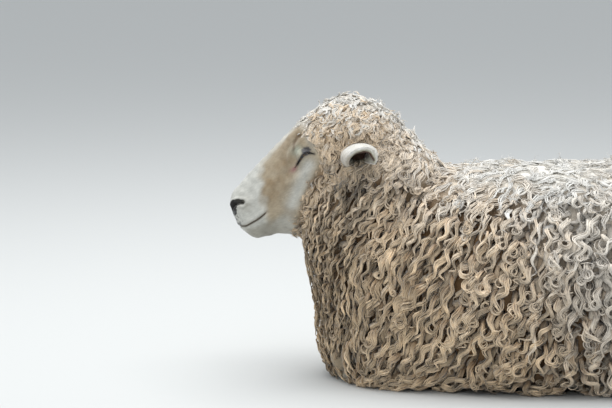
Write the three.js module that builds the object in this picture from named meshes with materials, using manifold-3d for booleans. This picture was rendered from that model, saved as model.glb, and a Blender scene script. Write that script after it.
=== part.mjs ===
// A long-woolled sheep lying at rest with its head up, at life size, as a still model.
// Millimetres, +Z up. The nose points to -X, the sheep's left side faces -Y, and it rests on Z = 0.
// The body is modelled whole, out to the tips of the fleece, and parted with thin cuts.
import * as THREE from "three";
import { mergeVertices } from "three/addons/utils/BufferGeometryUtils.js";
import Module from "manifold-3d";

// ---- Driving dimensions ----------------------------------------------------------------------

const GAP = 0.4; // what every cut leaves between two neighbours
const FAR = 2000; // larger than the sheep, for the blocks that cut it

// The trunk: its ends, and the height at which it is widest.
const CHEST_X = -372;
const RUMP_X = 548;
const TRUNK_MIDDLE = 165;
const TRUNK_BELOW = 192; // from there down, a little under the floor, which cuts it flat
const CHEST_DOME = 95;
const RUMP_DOME = 150;
// [how far along X, height of the back, half the width]
const TRUNK = [
  [-372, 262, 128],
  [-290, 344, 172],
  [-200, 399, 210],
  [-100, 415, 238],
  [60, 419, 262],
  [220, 424, 272],
  [350, 421, 268],
  [440, 408, 250],
  [548, 372, 214],
];

// The neck and its bib of wool, a column that stands on the floor in front of the trunk.
const NECK_TOP = 492;
const NECK_DOME = 80;
// [height, X of the front, X of the back, half the width]
const NECK = [
  [-60, -328, -150, 96],
  [0, -354, -140, 112],
  [60, -379, -132, 126],
  [150, -391, -118, 142],
  [250, -407, -108, 148],
  [330, -402, -106, 138],
  [400, -372, -128, 124],
  [450, -342, -164, 112],
  [492, -318, -196, 100],
];

// The head, along an axis that rises from the front of the muzzle to the nape.
const MUZZLE = { x: -550, z: 321 };
const HEAD_TILT = THREE.MathUtils.degToRad(27);
const HEAD_LENGTH = 383;
const MUZZLE_DOME = 26;
const NAPE_DOME = 92;
// [distance from the muzzle, top, bottom, height of the widest line, half the width]
const HEAD = [
  [0, 27, -52, -14, 30],
  [22, 37, -69, -20, 36],
  [44, 46, -76, -24, 41],
  [68, 55, -83, -24, 45],
  [100, 67, -106, -20, 50],
  [134, 79, -119, -10, 57],
  [162, 88, -122, 6, 65],
  [190, 97, -120, 14, 73],
  [214, 102, -116, 6, 84],
  [250, 106, -110, 0, 98],
  [292, 107, -104, -8, 108],
  [340, 92, -98, -18, 106],
  [383, 66, -92, -24, 100],
];
const MUZZLE_CUT = 112; // the muzzle and the lower jaw end here
const MOUTH_HEIGHT = -31; // the mouth's line, parallel to the head's axis

// The eyes.
const EYE = { along: 180.5, up: 39.5, out: 50.5, radius: 14 };
const LID_OPENING = { length: 16, height: 4, tilt: THREE.MathUtils.degToRad(40) };

// The ears: a hood held straight out from the head, hollow below and in front, with its tip hanging at the rear.
const EAR_LINE = [
  [-304, 74, 448],
  [-301, 112, 450],
  [-299, 150, 452],
  [-298, 184, 453],
  [-297, 211, 454],
];
// [how far out along the ear, half the width, height over the line, depth under the line]
const EAR = [
  [0, 22, 19, 20],
  [0.3, 31, 22, 27],
  [0.55, 33, 23, 29],
  [0.8, 33, 23, 31],
  [1, 32, 23, 32],
];
const EAR_WALL = 3.5;
const EAR_TURN = THREE.MathUtils.degToRad(12); // the hollow side is turned this far forward from down

// The docked tail.
const TAIL = [
  [[528, 0, 340], 26],
  [[546, 0, 290], 30],
  [[550, 0, 235], 24],
  [[546, 0, 200], 14],
];

// Legs, as [place, radius] along each bone, for the left side. The right side is mirrored.
const FOREARM = [
  [[-208, -100, 134], 36],
  [[-258, -90, 100], 32],
  [[-310, -78, 62], 26],
  [[-350, -70, 35], 28],
];
const FORE_CANNON = [
  [[-336, -70, 20], 20],
  [[-300, -70, 16], 16],
  [[-240, -68, 16], 15.5],
  [[-212, -67, 18], 18.5],
  [[-182, -66, 16], 16],
];
const SHANK = [
  [[262, -172, 150], 52],
  [[318, -190, 112], 44],
  [[376, -206, 74], 31],
  [[424, -216, 44], 27],
];
const HIND_CANNON = [
  [[418, -217, 22], 22],
  [[376, -226, 17], 17],
  [[322, -240, 16], 16],
  [[294, -247, 18], 18.5],
  [[268, -250, 16], 16],
];
const HOOF = { length: 60, height: 34, claw: 12.5, splay: 0.06 };

// ---- Colours ---------------------------------------------------------------------------------

const finish = (color, roughness) => new THREE.MeshStandardMaterial({ color, roughness, metalness: 0 });
const FLEECE = finish("#a89a82", 0.95);
const PALE_FLEECE = finish("#c9c4b8", 0.95);
const FACE_HAIR = finish("#bfbbb0", 0.85);
const EAR_HAIR = finish("#c6c4bd", 0.85);
const LEG_HAIR = finish("#b8ad99", 0.9);
const EYE_GLOSS = finish("#2a1d10", 0.1);
const HORN = finish("#4a4238", 0.6);

// ---- Shapes ----------------------------------------------------------------------------------

const wasm = await Module();
wasm.setup();

/** The value in one column of a table of stations, on a smooth curve through its rows. */
function station(rows, column, at) {
  const last = rows.length - 1;
  const x = THREE.MathUtils.clamp(at, rows[0][0], rows[last][0]);
  let i = 0;
  while (i < last - 1 && x > rows[i + 1][0]) i++;
  const slope = (k) => {
    const a = rows[Math.max(0, k - 1)];
    const b = rows[Math.min(last, k + 1)];
    return (b[column] - a[column]) / (b[0] - a[0]);
  };
  const [from, to] = [rows[i], rows[i + 1]];
  const span = to[0] - from[0];
  const t = (x - from[0]) / span;
  return (
    from[column] * (1 + 2 * t) * (1 - t) ** 2 +
    slope(i) * span * t * (1 - t) ** 2 +
    to[column] * t * t * (3 - 2 * t) -
    slope(i + 1) * span * t * t * (1 - t)
  );
}

/** How far a rounded end has opened at a distance from its tip: 0 at the tip, 1 from depth on. */
const dome = (distance, depth, power = 2) =>
  distance >= depth ? 1 : (1 - (1 - Math.max(0, distance) / depth) ** power) ** (1 / power);

/** The radius at an angle from the top of a section with its own half width, heights and roundness. */
function sectionRadius(angle, halfWidth, above, below, powerAbove = 2, powerBelow = 2) {
  const rise = Math.cos(angle);
  const height = rise > 0 ? above : below;
  const power = rise > 0 ? powerAbove : powerBelow;
  return (Math.abs(Math.sin(angle) / halfWidth) ** power + Math.abs(rise / height) ** power) ** (-1 / power);
}

/** The low swell that clumps of locks give the fleece. */
const clumps = (along, angle, depth = 5) =>
  depth * Math.sin(along / 27 + 1.7 * Math.sin(3 * angle)) * Math.sin(6 * angle + along / 70);

/** A closed skin over rings from t = 0 to t = 1, whose first and last rings have shrunk to points. */
function loft(rings, sides, pointAt, spacing = (t) => 0.5 - 0.5 * Math.cos(Math.PI * t)) {
  const places = [];
  const faces = [];
  const ringStart = (i) => 1 + (i - 1) * sides;
  places.push(...pointAt(0, 0));
  for (let i = 1; i < rings; i++)
    for (let j = 0; j < sides; j++) places.push(...pointAt(spacing(i / rings), (2 * Math.PI * j) / sides));
  const end = places.length / 3;
  places.push(...pointAt(1, 0));
  for (let j = 0; j < sides; j++) {
    const next = (j + 1) % sides;
    faces.push(0, ringStart(1) + j, ringStart(1) + next);
    faces.push(end, ringStart(rings - 1) + next, ringStart(rings - 1) + j);
    for (let i = 1; i < rings - 1; i++) {
      const [a, b] = [ringStart(i) + j, ringStart(i) + next];
      const [c, d] = [ringStart(i + 1) + next, ringStart(i + 1) + j];
      faces.push(a, d, b, b, d, c);
    }
  }
  const geometry = new THREE.BufferGeometry();
  geometry.setAttribute("position", new THREE.Float32BufferAttribute(places, 3));
  geometry.setIndex(faces);
  return geometry;
}

/** A limb: round sections of changing radius along a curve through [place, radius] rows. */
function limb(rows, grow = 0, rings = 8, sides = 9) {
  const curve = new THREE.CatmullRomCurve3(rows.map(([place]) => new THREE.Vector3(...place)));
  const radii = rows.map(([, radius], i) => [i / (rows.length - 1), radius]);
  const length = curve.getLength();
  return loft(rings, sides, (t, angle) => {
    const heading = curve.getTangent(t);
    const across = new THREE.Vector3(0, 1, 0).cross(heading).normalize();
    const side = heading.clone().cross(across);
    const radius = station(radii, 1, t);
    const open = Math.min(dome(t * length + grow, radius), dome((1 - t) * length + grow, radius));
    const reach = t === 0 || t === 1 ? 0 : radius * open + grow;
    return curve
      .getPoint(t)
      .addScaledVector(heading, t === 0 ? -grow : t === 1 ? grow : 0)
      .addScaledVector(across, Math.cos(angle) * reach)
      .addScaledVector(side, Math.sin(angle) * reach)
      .toArray();
  });
}

/** A geometry as a solid that can be joined and cut. */
function solid(geometry) {
  const bare = geometry.clone();
  bare.deleteAttribute("normal");
  bare.deleteAttribute("uv");
  const merged = mergeVertices(bare, 1e-3);
  const triVerts = new Uint32Array(merged.index.array);
  const made = new wasm.Manifold(
    new wasm.Mesh({ numProp: 3, vertProperties: merged.attributes.position.array, triVerts }),
  );
  if (made.volume() > 0) return made;
  for (let i = 0; i < triVerts.length; i += 3) [triVerts[i], triVerts[i + 1]] = [triVerts[i + 1], triVerts[i]];
  return new wasm.Manifold(new wasm.Mesh({ numProp: 3, vertProperties: merged.attributes.position.array, triVerts }));
}

/** A block between two corners, turned about Y and then moved to a place. */
function block(low, high, tilt = 0, place = [0, 0, 0]) {
  const size = high.map((h, i) => h - low[i]);
  const box = new THREE.BoxGeometry(...size);
  box.translate(...low.map((l, i) => l + size[i] / 2));
  box.rotateY(-tilt);
  box.translate(...place);
  return solid(box);
}

/** A place on the head from its distance along the axis, its side and its height over the axis. */
function onHead(along, side, up) {
  return [
    MUZZLE.x + along * Math.cos(HEAD_TILT) - up * Math.sin(HEAD_TILT),
    side,
    MUZZLE.z + along * Math.sin(HEAD_TILT) + up * Math.cos(HEAD_TILT),
  ];
}

// ---- The sheep, whole ------------------------------------------------------------------------

function trunkForm() {
  const length = RUMP_X - CHEST_X;
  const place = (t, angle) => {
    const x = CHEST_X + t * length;
    const open = dome(x - CHEST_X, CHEST_DOME, 2.4) * dome(RUMP_X - x, RUMP_DOME, 2.4);
    const above = station(TRUNK, 1, x) - TRUNK_MIDDLE;
    const radius = sectionRadius(angle, station(TRUNK, 2, x), above, TRUNK_BELOW, 2.25, 3.6);
    const reach = (radius + clumps(x, angle)) * open;
    return [x, -Math.sin(angle) * reach, TRUNK_MIDDLE + Math.cos(angle) * reach];
  };
  return loft(23, 30, place);
}

function neckForm(grow = 0) {
  const foot = NECK[0][0];
  const place = (t, angle) => {
    const z = foot + t * (NECK_TOP - foot);
    const front = station(NECK, 1, z);
    const back = station(NECK, 2, z);
    const open = dome(z - foot, 20) * dome(NECK_TOP - z, NECK_DOME, 2.2);
    const half = (back - front) / 2;
    const radius = sectionRadius(angle, station(NECK, 3, z), half, half, 2.3, 2.3);
    const reach = (radius + clumps(z, angle, 4) + grow) * open;
    return [(front + back) / 2 - Math.cos(angle) * reach, -Math.sin(angle) * reach, z + grow * t];
  };
  return loft(12, 24, place);
}

function headForm(grow = 0) {
  const woolAt = 205; // behind this the head is covered with wool
  const place = (t, angle) => {
    const along = t * HEAD_LENGTH;
    const middle = station(HEAD, 3, along);
    const above = station(HEAD, 1, along) - middle;
    const below = middle - station(HEAD, 2, along);
    const powerAbove = along < woolAt ? 1.85 : 2;
    const radius = sectionRadius(angle, station(HEAD, 4, along), above, below, powerAbove, 2.2);
    const open = dome(along, MUZZLE_DOME, 2.6) * dome(HEAD_LENGTH - along, NAPE_DOME, 2.1);
    const lump = clumps(along, angle, 4) * THREE.MathUtils.smoothstep(along, woolAt, woolAt + 50);
    const reach = (radius + lump + grow) * open;
    return onHead(along + grow * (2 * t - 1), -Math.sin(angle) * reach, middle + Math.cos(angle) * reach);
  };
  return loft(20, 22, place);
}

/** An ear for one side, closed and plump, or the hollow that opens it below and in front of the tip. */
function earForm(side, grow = 0, hollow = false) {
  const line = new THREE.CatmullRomCurve3(EAR_LINE.map(([x, y, z]) => new THREE.Vector3(x, side * y, z)));
  const length = line.getLength();
  return loft(9, 12, (t, angle) => {
    const heading = line.getTangent(t);
    const fore = new THREE.Vector3(-1, 0, 0).addScaledVector(heading, heading.x).normalize();
    const up = heading.clone().cross(fore).multiplyScalar(side);
    const edge = fore.clone().multiplyScalar(Math.cos(EAR_TURN)).addScaledVector(up, -Math.sin(EAR_TURN));
    const crown = up.multiplyScalar(Math.cos(EAR_TURN)).addScaledVector(fore, Math.sin(EAR_TURN));
    const open = dome(t * length, 14) * dome((1 - t) * length, 30);
    const opening = hollow ? t * t : 0;
    const width = station(EAR, 1, t) + grow;
    const under = hollow ? 2 * station(EAR, 3, t) : station(EAR, 3, t) + grow;
    const reach = sectionRadius(angle, width, station(EAR, 2, t) + grow, under, 2, hollow ? 4 : 2) * open;
    return line
      .getPoint(t)
      .addScaledVector(heading, grow * (2 * t - 1) + opening * 20)
      .addScaledVector(edge, Math.sin(angle) * reach + opening * 13)
      .addScaledVector(crown, Math.cos(angle) * reach - opening * 8)
      .toArray();
  });
}

/** One claw of a cloven hoof, from the coronet to the toe, to the inner or outer side of the foot. */
function clawForm(coronet, heading, outward, soleUp) {
  const toe = new THREE.Vector3(...heading).normalize();
  const outer = new THREE.Vector3(0, outward, 0);
  const start = new THREE.Vector3(...coronet);
  const sole = soleUp ? 1 : -1;
  return loft(6, 8, (t, angle) => {
    const open = dome(t * HOOF.length, 8) * dome((1 - t) * HOOF.length, 26, 1.8);
    const lift = sole * HOOF.height * 0.12 * (1 - t);
    return start
      .clone()
      .addScaledVector(toe, t * HOOF.length)
      .addScaledVector(outer, HOOF.claw * (0.82 + HOOF.splay * t) + Math.sin(angle) * HOOF.claw * 0.72 * open)
      .add(new THREE.Vector3(0, 0, Math.cos(angle) * HOOF.height * 0.5 * open * (1 - 0.35 * t) - lift))
      .toArray();
  });
}

// ---- Parting it into nodes -------------------------------------------------------------------

const floor = block([-FAR, -FAR, -FAR], [FAR, FAR, 0]);
const mirrored = (rows, side) => rows.map(([[x, y, z], radius]) => [[x, -side * y, z], radius]);
/** The part of a solid between two values of X. */
const between = (form, from, to) => form.intersect(block([from, -FAR, -FAR], [to, FAR, FAR]));
/** The largest piece of a solid, without the crumbs that a cut leaves. */
const largest = (form) => form.decompose().reduce((a, b) => (a.volume() > b.volume() ? a : b));

const sheep = new THREE.Group();

/** Adds a solid to the sheep as one named mesh. */
function add(name, form, material) {
  const { numProp, vertProperties, triVerts, numVert } = largest(form).getMesh();
  const places = new Float32Array(numVert * 3);
  for (let i = 0; i < numVert; i++) places.set(vertProperties.subarray(i * numProp, i * numProp + 3), i * 3);
  const geometry = new THREE.BufferGeometry();
  geometry.setAttribute("position", new THREE.BufferAttribute(places, 3));
  geometry.setIndex(new THREE.BufferAttribute(triVerts, 1));
  const mesh = new THREE.Mesh(geometry.toNonIndexed(), material);
  mesh.geometry.computeVertexNormals();
  mesh.name = name;
  sheep.add(mesh);
}

/** Both legs of one side, with what has to be cut from the fleece to make room for them. */
function legsOf(side) {
  const name = side < 0 ? "left" : "right";
  const hindIn = side < 0 ? 0 : 34; // the right hind foot is tucked further in
  const tuck = (rows) =>
    rows.map(([[x, y, z], radius], i) => [[x, y + (hindIn * (i + 1)) / rows.length, z], radius]);
  const bones = {
    forearm: mirrored(FOREARM, side),
    fore_cannon: mirrored(FORE_CANNON, side),
    shank: mirrored(SHANK, side),
    hind_cannon: mirrored(tuck(HIND_CANNON), side),
  };
  const room = [];
  const above = {};
  for (const [bone, rows] of Object.entries(bones)) {
    let form = solid(limb(rows)).subtract(floor);
    if (bone === "fore_cannon") form = form.subtract(above.forearm);
    if (bone === "hind_cannon") form = form.subtract(above.shank);
    above[bone] = solid(limb(rows, GAP));
    room.push(above[bone]);
    add(`${bone}_${name}`, form, LEG_HAIR);
  }
  const feet = [
    ["fore", bones.fore_cannon, 1, true],
    ["hind", bones.hind_cannon, -1, false],
  ];
  for (const [which, rows, along, soleUp] of feet) {
    const [[x, y]] = rows[rows.length - 1];
    const coronet = [x + along * 17.5, y, HOOF.height * 0.5 - 1.5 + (soleUp ? 2 : 0)];
    for (const [inner, outward] of [["outer", side], ["inner", -side]]) {
      const claw = solid(clawForm(coronet, [along, 0.05 * side * along, 0], outward, soleUp));
      add(`hoof_${which}_${name}_${inner}`, claw.subtract(floor), HORN);
    }
    const pad = HOOF.length + 4;
    const ends = [x + along * 10, x + along * (14 + pad)].sort((a, b) => a - b);
    room.push(block([ends[0], y - 27, -1], [ends[1], y + 27, HOOF.height + 3]));
  }
  return room;
}

function build() {
  const room = [-1, 1].flatMap(legsOf);
  const tail = solid(limb(TAIL));
  const tailRoom = solid(limb(TAIL, GAP));

  const trunk = [floor, tailRoom, ...room].reduce((form, cut) => form.subtract(cut), solid(trunkForm()));
  const earRoom = [-1, 1].map((side) => solid(earForm(side, GAP)));
  const aroundNeck = [solid(headForm(GAP)), floor, ...room, ...earRoom];
  const neck = aroundNeck.reduce((form, cut) => form.subtract(cut), solid(neckForm()));
  const neckRoom = solid(neckForm(GAP));
  const head = earRoom.reduce((form, cut) => form.subtract(cut), solid(headForm()));

  const shoulderX = -150;
  const loinX = 240;
  const shoulders = between(trunk, -FAR, shoulderX).subtract(neckRoom);
  add("shoulder_left", shoulders.intersect(block([-FAR, -FAR, 0], [FAR, -GAP / 2, FAR])), FLEECE);
  add("shoulder_right", shoulders.intersect(block([-FAR, GAP / 2, 0], [FAR, FAR, FAR])), FLEECE);
  add("trunk_barrel", between(trunk, shoulderX + GAP, loinX).subtract(neckRoom), FLEECE);
  add("trunk_rump", between(trunk, loinX + GAP, FAR), PALE_FLEECE);
  add("neck", neck, FLEECE);
  add("tail", tail.subtract(floor), PALE_FLEECE);

  let cranium = head.intersect(block([MUZZLE_CUT + GAP, -FAR, -FAR], [FAR, FAR, FAR], HEAD_TILT, onHead(0, 0, 0)));
  const face = head.intersect(block([-FAR, -FAR, -FAR], [MUZZLE_CUT, FAR, FAR], HEAD_TILT, onHead(0, 0, 0)));
  const jawHalf = (low, high) => block([-FAR, -FAR, low], [FAR, FAR, high], HEAD_TILT, onHead(0, 0, 0));
  add("muzzle", face.intersect(jawHalf(MOUTH_HEIGHT + GAP, FAR)), FACE_HAIR);
  add("lower_jaw", face.intersect(jawHalf(-FAR, MOUTH_HEIGHT)), FACE_HAIR);

  for (const side of [-1, 1]) {
    const name = side < 0 ? "left" : "right";
    add(`ear_${name}`, solid(earForm(side)).subtract(solid(earForm(side, -EAR_WALL, true))), EAR_HAIR);
    const centre = onHead(EYE.along, side * EYE.out, EYE.up);
    const ball = (radius) => solid(new THREE.SphereGeometry(radius, 12, 8).translate(...centre));
    add(`eye_${name}`, ball(EYE.radius), EYE_GLOSS);
    const slit = new THREE.SphereGeometry(1, 10, 5)
      .scale(LID_OPENING.length, 30, LID_OPENING.height)
      .rotateY(-LID_OPENING.tilt)
      .translate(centre[0], centre[1] + side * 22, centre[2]);
    cranium = cranium.subtract(ball(EYE.radius + GAP)).subtract(solid(slit));
  }
  add("head", cranium, FLEECE);

  const box = new THREE.Box3().setFromObject(sheep);
  sheep.position.set(-(box.min.x + box.max.x) / 2, -(box.min.y + box.max.y) / 2, -box.min.z);
}

build();

export default sheep;
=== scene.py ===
"""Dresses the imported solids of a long-woolled sheep at rest: one skin, two eyes, eight claws and a fleece.

Forms are worked out in millimetres in the sheep's own frame (nose towards -X, left side towards -Y, floor at
Z = 0) and turned into metres of the row's frame at the end.
"""

import logging
import math
from collections.abc import Callable
from dataclasses import dataclass, replace
from enum import Enum

import bpy
import numpy as np
from numpy.typing import NDArray
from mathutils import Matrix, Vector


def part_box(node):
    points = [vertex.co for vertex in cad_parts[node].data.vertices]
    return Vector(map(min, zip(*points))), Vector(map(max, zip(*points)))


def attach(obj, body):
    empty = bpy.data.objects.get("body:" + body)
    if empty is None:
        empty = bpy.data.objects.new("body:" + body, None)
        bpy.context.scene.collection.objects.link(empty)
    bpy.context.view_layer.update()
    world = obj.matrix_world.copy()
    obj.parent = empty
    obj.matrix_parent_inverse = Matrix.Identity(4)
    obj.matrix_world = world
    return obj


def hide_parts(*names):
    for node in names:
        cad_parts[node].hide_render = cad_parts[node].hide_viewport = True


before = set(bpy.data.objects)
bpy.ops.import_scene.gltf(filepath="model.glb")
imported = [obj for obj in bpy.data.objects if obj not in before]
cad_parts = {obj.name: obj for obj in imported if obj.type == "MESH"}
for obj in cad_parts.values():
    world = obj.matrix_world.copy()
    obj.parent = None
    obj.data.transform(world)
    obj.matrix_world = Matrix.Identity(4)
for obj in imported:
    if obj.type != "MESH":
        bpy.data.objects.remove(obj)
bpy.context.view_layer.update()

Array = NDArray[np.float64]
Faces = NDArray[np.int64]
Mask = NDArray[np.bool_]
Field = Callable[[Array], Array]
Piece = bpy.types.Object
Pair = tuple[float, float]
Place = tuple[float, float, float]
Colour = tuple[float, float, float]
Line = tuple[tuple[float, ...], ...]
Layer = tuple[Colour, Array]
Spots = tuple[Array, Array, Array]
Tree = bpy.types.NodeTree
Node = bpy.types.Node
Material = bpy.types.Material
Inputs = dict[str | int, float | tuple[float, ...] | bpy.types.NodeSocket]
log = logging.getLogger("sheep")

MM = 0.001
TAU = 2.0 * math.pi
BODY = "root"

# ---- Small numpy helpers ----


def smooth(low: float, high: float, x: Array) -> Array:
    """A soft step: 0 below low, 1 above high, with 3t^2 - 2t^3 between them."""
    t = np.clip((x - low) / (high - low), 0.0, 1.0)
    return t * t * (3.0 - 2.0 * t)


def bell(distance: Array, width: float) -> Array:
    """A bump of height 1 that falls off as exp(-(distance / width)^2)."""
    return np.exp(-((distance / width) ** 2))


def unit(vectors: Array) -> Array:
    """Vectors scaled to a length of 1."""
    return vectors / np.maximum(np.linalg.norm(vectors, axis=-1, keepdims=True), 1e-9)


def dot(a: Array, b: Array) -> Array:
    """The dot products of two arrays of vectors, kept as a column."""
    return np.sum(a * b, axis=-1, keepdims=True)


def linear(*rgb: float) -> Colour:
    """An sRGB colour given in 0-255 as linear light."""
    c = np.asarray(rgb) / 255.0
    out = np.where(c <= 0.04045, c / 12.92, ((c + 0.055) / 1.055) ** 2.4)
    return (float(out[0]), float(out[1]), float(out[2]))


def near_line(points: Array, line: Array | Line) -> tuple[Array, Array]:
    """The distance from points to a polyline, and how far along it (0 to 1) the nearest place lies.

    Args:
        points: places, shape (..., d).
        line: the polyline's corners, shape (m, d).

    Returns:
        Distances and fractions of the polyline's length, both of shape (...).
    """
    line = np.asarray(line)
    starts, steps = line[:-1], np.diff(line, axis=0)
    lengths = np.linalg.norm(steps, axis=1)
    offset = points[..., None, :] - starts
    t = np.clip(np.sum(offset * steps, axis=-1) / lengths**2, 0.0, 1.0)
    gaps = np.linalg.norm(offset - t[..., None] * steps, axis=-1)
    best = np.argmin(gaps, axis=-1)[..., None]
    before = np.concatenate([[0.0], np.cumsum(lengths)[:-1]])
    travelled = (before + t * lengths) / lengths.sum()
    return np.take_along_axis(gaps, best, -1)[..., 0], np.take_along_axis(travelled, best, -1)[..., 0]


def along_curves(rows: Array, t: Array) -> Array:
    """Catmull-Rom curves through rows of places.

    Args:
        rows: the places that each curve passes, shape (n, m, d).
        t: fractions of each curve from 0 to 1, shape (n, k).

    Returns:
        Points on the curves, shape (n, k, d).
    """
    m = rows.shape[1]
    place = np.clip(t, 0, 1) * (m - 1)
    i = np.clip(np.floor(place).astype(int), 0, m - 2)
    f = (place - i)[..., None]
    which = np.arange(len(rows))[:, None]
    a, b, c, d = (rows[which, np.clip(i + o, 0, m - 1)] for o in (-1, 0, 1, 2))
    return b + 0.5 * f * (c - a + f * (2 * a - 5 * b + 4 * c - d + f * (3 * (b - c) + d - a)))


def ripple(points: Array, size: float, seed: int) -> Array:
    """A smooth random field from about -1 to 1: a mean of six sine waves of one size in random directions."""
    draw = np.random.default_rng(seed)
    directions = unit(draw.normal(size=(6, 3))) * TAU / size
    phases = draw.uniform(0.0, TAU, 6)
    return np.sin(points @ directions.T + phases).mean(axis=-1) * 1.8


@dataclass(frozen=True)
class Stations:
    """Rows of numbers along an axis, read on a smooth curve through them.

    Between two rows the curve is a cubic whose slope at each row is that of the line through its neighbours.
    """

    rows: tuple[tuple[float, ...], ...]

    def at(self, x: Array, column: int) -> Array:
        """The value of one column at positions along the first one."""
        table = np.asarray(self.rows)
        places, values = table[:, 0], table[:, column]
        last = len(places) - 1
        lower, upper = np.maximum(np.arange(last + 1) - 1, 0), np.minimum(np.arange(last + 1) + 1, last)
        slopes = (values[upper] - values[lower]) / (places[upper] - places[lower])
        x = np.clip(x, places[0], places[-1])
        i = np.clip(np.searchsorted(places, x, side="left") - 1, 0, last - 1)
        span = places[i + 1] - places[i]
        t = (x - places[i]) / span
        return (
            values[i] * (1 + 2 * t) * (1 - t) ** 2
            + slopes[i] * span * t * (1 - t) ** 2
            + values[i + 1] * t * t * (3 - 2 * t)
            - slopes[i + 1] * span * t * t * (1 - t)
        )


# ---- The body's forms, out to the tips of the fleece ----


@dataclass(frozen=True)
class Dome:
    """A rounded end: how deep it is, and the power that sets how blunt it is."""

    depth: float
    power: float


@dataclass(frozen=True)
class Form:
    """A form of rounded sections along an axis in the sheep's middle plane, closed by a dome at each end.

    The axis starts at an origin (x, z) and runs along a way (x, z). A point has a distance along it, and in
    its section a side (left is negative) and an up from the widest line. The section's radius at an angle
    from up is (|sin / half|^n + |cos / height|^n)^(-1/n), with its own roundness n above and below.
    """

    stations: Stations
    start: float
    end: float
    first: Dome
    last: Dome
    swell: float
    roundness: Pair
    origin: Pair = (0.0, 0.0)
    way: Pair = (1.0, 0.0)

    def section(self, along: Array) -> Spots:
        """Half the width, the height above and the depth below the widest line."""
        raise NotImplementedError

    def widest(self, along: Array) -> Array | float:
        """The height of the widest line over the axis."""
        raise NotImplementedError

    def powers(self, along: Array) -> tuple[Array | float, float]:
        """The roundness of a section's upper and lower half."""
        return self.roundness

    def swelling(self, along: Array) -> Array:
        """How much of the swell that clumps of locks give is felt at a distance along the axis."""
        return np.ones_like(along)

    def at(self, along: Array, side: Array, height: Array) -> Array:
        """Points from a distance along the axis, a side and a height over the axis itself."""
        cos, sin = self.way
        x = self.origin[0] + along * cos - height * sin
        z = self.origin[1] + along * sin + height * cos
        return np.stack(np.broadcast_arrays(x, side, z), axis=-1)

    def own(self, points: Array) -> Spots:
        """The distance along the axis, the side and the height over the axis of points."""
        cos, sin = self.way
        x, z = points[..., 0] - self.origin[0], points[..., 2] - self.origin[1]
        return x * cos + z * sin, points[..., 1], z * cos - x * sin

    def place(self, along: Array, side: Array, up: Array) -> Array:
        """Points from a distance along the axis, a side and a height over the widest line."""
        return self.at(along, side, up + self.widest(along))

    def locate(self, points: Array) -> Spots:
        """The reverse of place."""
        along, side, height = self.own(points)
        return along, side, height - self.widest(along)

    def radius(self, along: Array, angle: Array) -> Array:
        """The full radius of the section at an angle from up, with the swell of the clumps on it."""
        half, above, below = self.section(along)
        power_above, power_below = self.powers(along)
        rise = np.cos(angle)
        height = np.where(rise > 0, above, below)
        power = np.where(rise > 0, power_above, power_below)
        sine = np.maximum(np.abs(np.sin(angle)), 1e-9)
        plain = ((sine / half) ** power + (np.abs(rise) / height) ** power) ** (-1.0 / power)
        lump = np.sin(along / 27.0 + 1.7 * np.sin(3 * angle)) * np.sin(6 * angle + along / 70.0)
        return plain + self.swell * self.swelling(along) * lump

    def opening(self, along: Array, inset: float | Array = 0.0) -> Array:
        """How far the domes have opened: 0 at the very ends, 1 between them."""
        first = np.clip(1 - (along - self.start - inset) / self.first.depth, 0, 1)
        last = np.clip(1 - (self.end - inset - along) / self.last.depth, 0, 1)
        return (1 - first**self.first.power) ** (1 / self.first.power) * (
            1 - last**self.last.power
        ) ** (1 / self.last.power)

    def surface(self, along: Array, angle: Array, inset: float | Array = 0.0) -> Array:
        """Points on the form, or under it by an inset."""
        reach = np.maximum(self.radius(along, angle) - inset, 1.0) * self.opening(along, inset)
        return self.place(along, -np.sin(angle) * reach, np.cos(angle) * reach)

    def level(self, points: Array) -> Array:
        """A number that is 1 on the form, less inside and more outside it: (q^p + u^p)^(1/p).

        q is the share of the section's radius that is used, and u how far into a dome the point lies.
        """
        along, side, up = self.locate(points)
        share = np.hypot(side, up) / self.radius(along, np.arctan2(-side, up))
        first = np.maximum(1 - (along - self.start) / self.first.depth, 0)
        last = np.maximum(1 - (self.end - along) / self.last.depth, 0)
        power = np.where(first > last, self.first.power, self.last.power)
        return (share**power + np.maximum(first, last) ** power) ** (1 / power)

    def distance(self, points: Array) -> Array:
        """About how far points lie outside the form: (level - 1) over the steepness of level."""
        step = 1.0
        slope = [
            (self.level(points + axis * step) - self.level(points - axis * step)) / (2 * step)
            for axis in np.eye(3)
        ]
        steep = np.sqrt(sum(s * s for s in slope))
        return (self.level(points) - 1.0) / np.maximum(steep, 1e-3)


@dataclass(frozen=True)
class Trunk(Form):
    """The trunk, along X: stations of its back and of half its width, a rounded back over a boxier belly."""

    stations: Stations = Stations((
        (-372, 262, 128), (-290, 344, 172), (-200, 399, 210), (-100, 415, 238), (60, 419, 262),
        (220, 424, 272), (350, 421, 268), (440, 408, 250), (548, 372, 214),
    ))
    start: float = -372.0
    end: float = 548.0
    first: Dome = Dome(95.0, 2.4)
    last: Dome = Dome(150.0, 2.4)
    swell: float = 5.0
    roundness: Pair = (2.25, 3.6)
    middle: float = 165.0
    under: float = 192.0

    def widest(self, along: Array) -> Array | float:
        """One height all along."""
        return self.middle

    def section(self, along: Array) -> Spots:
        """Half the width, the height of the back and one depth all along."""
        half, top = self.stations.at(along, 2), self.stations.at(along, 1)
        return half, top - self.middle, np.full_like(along, self.under)


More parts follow.
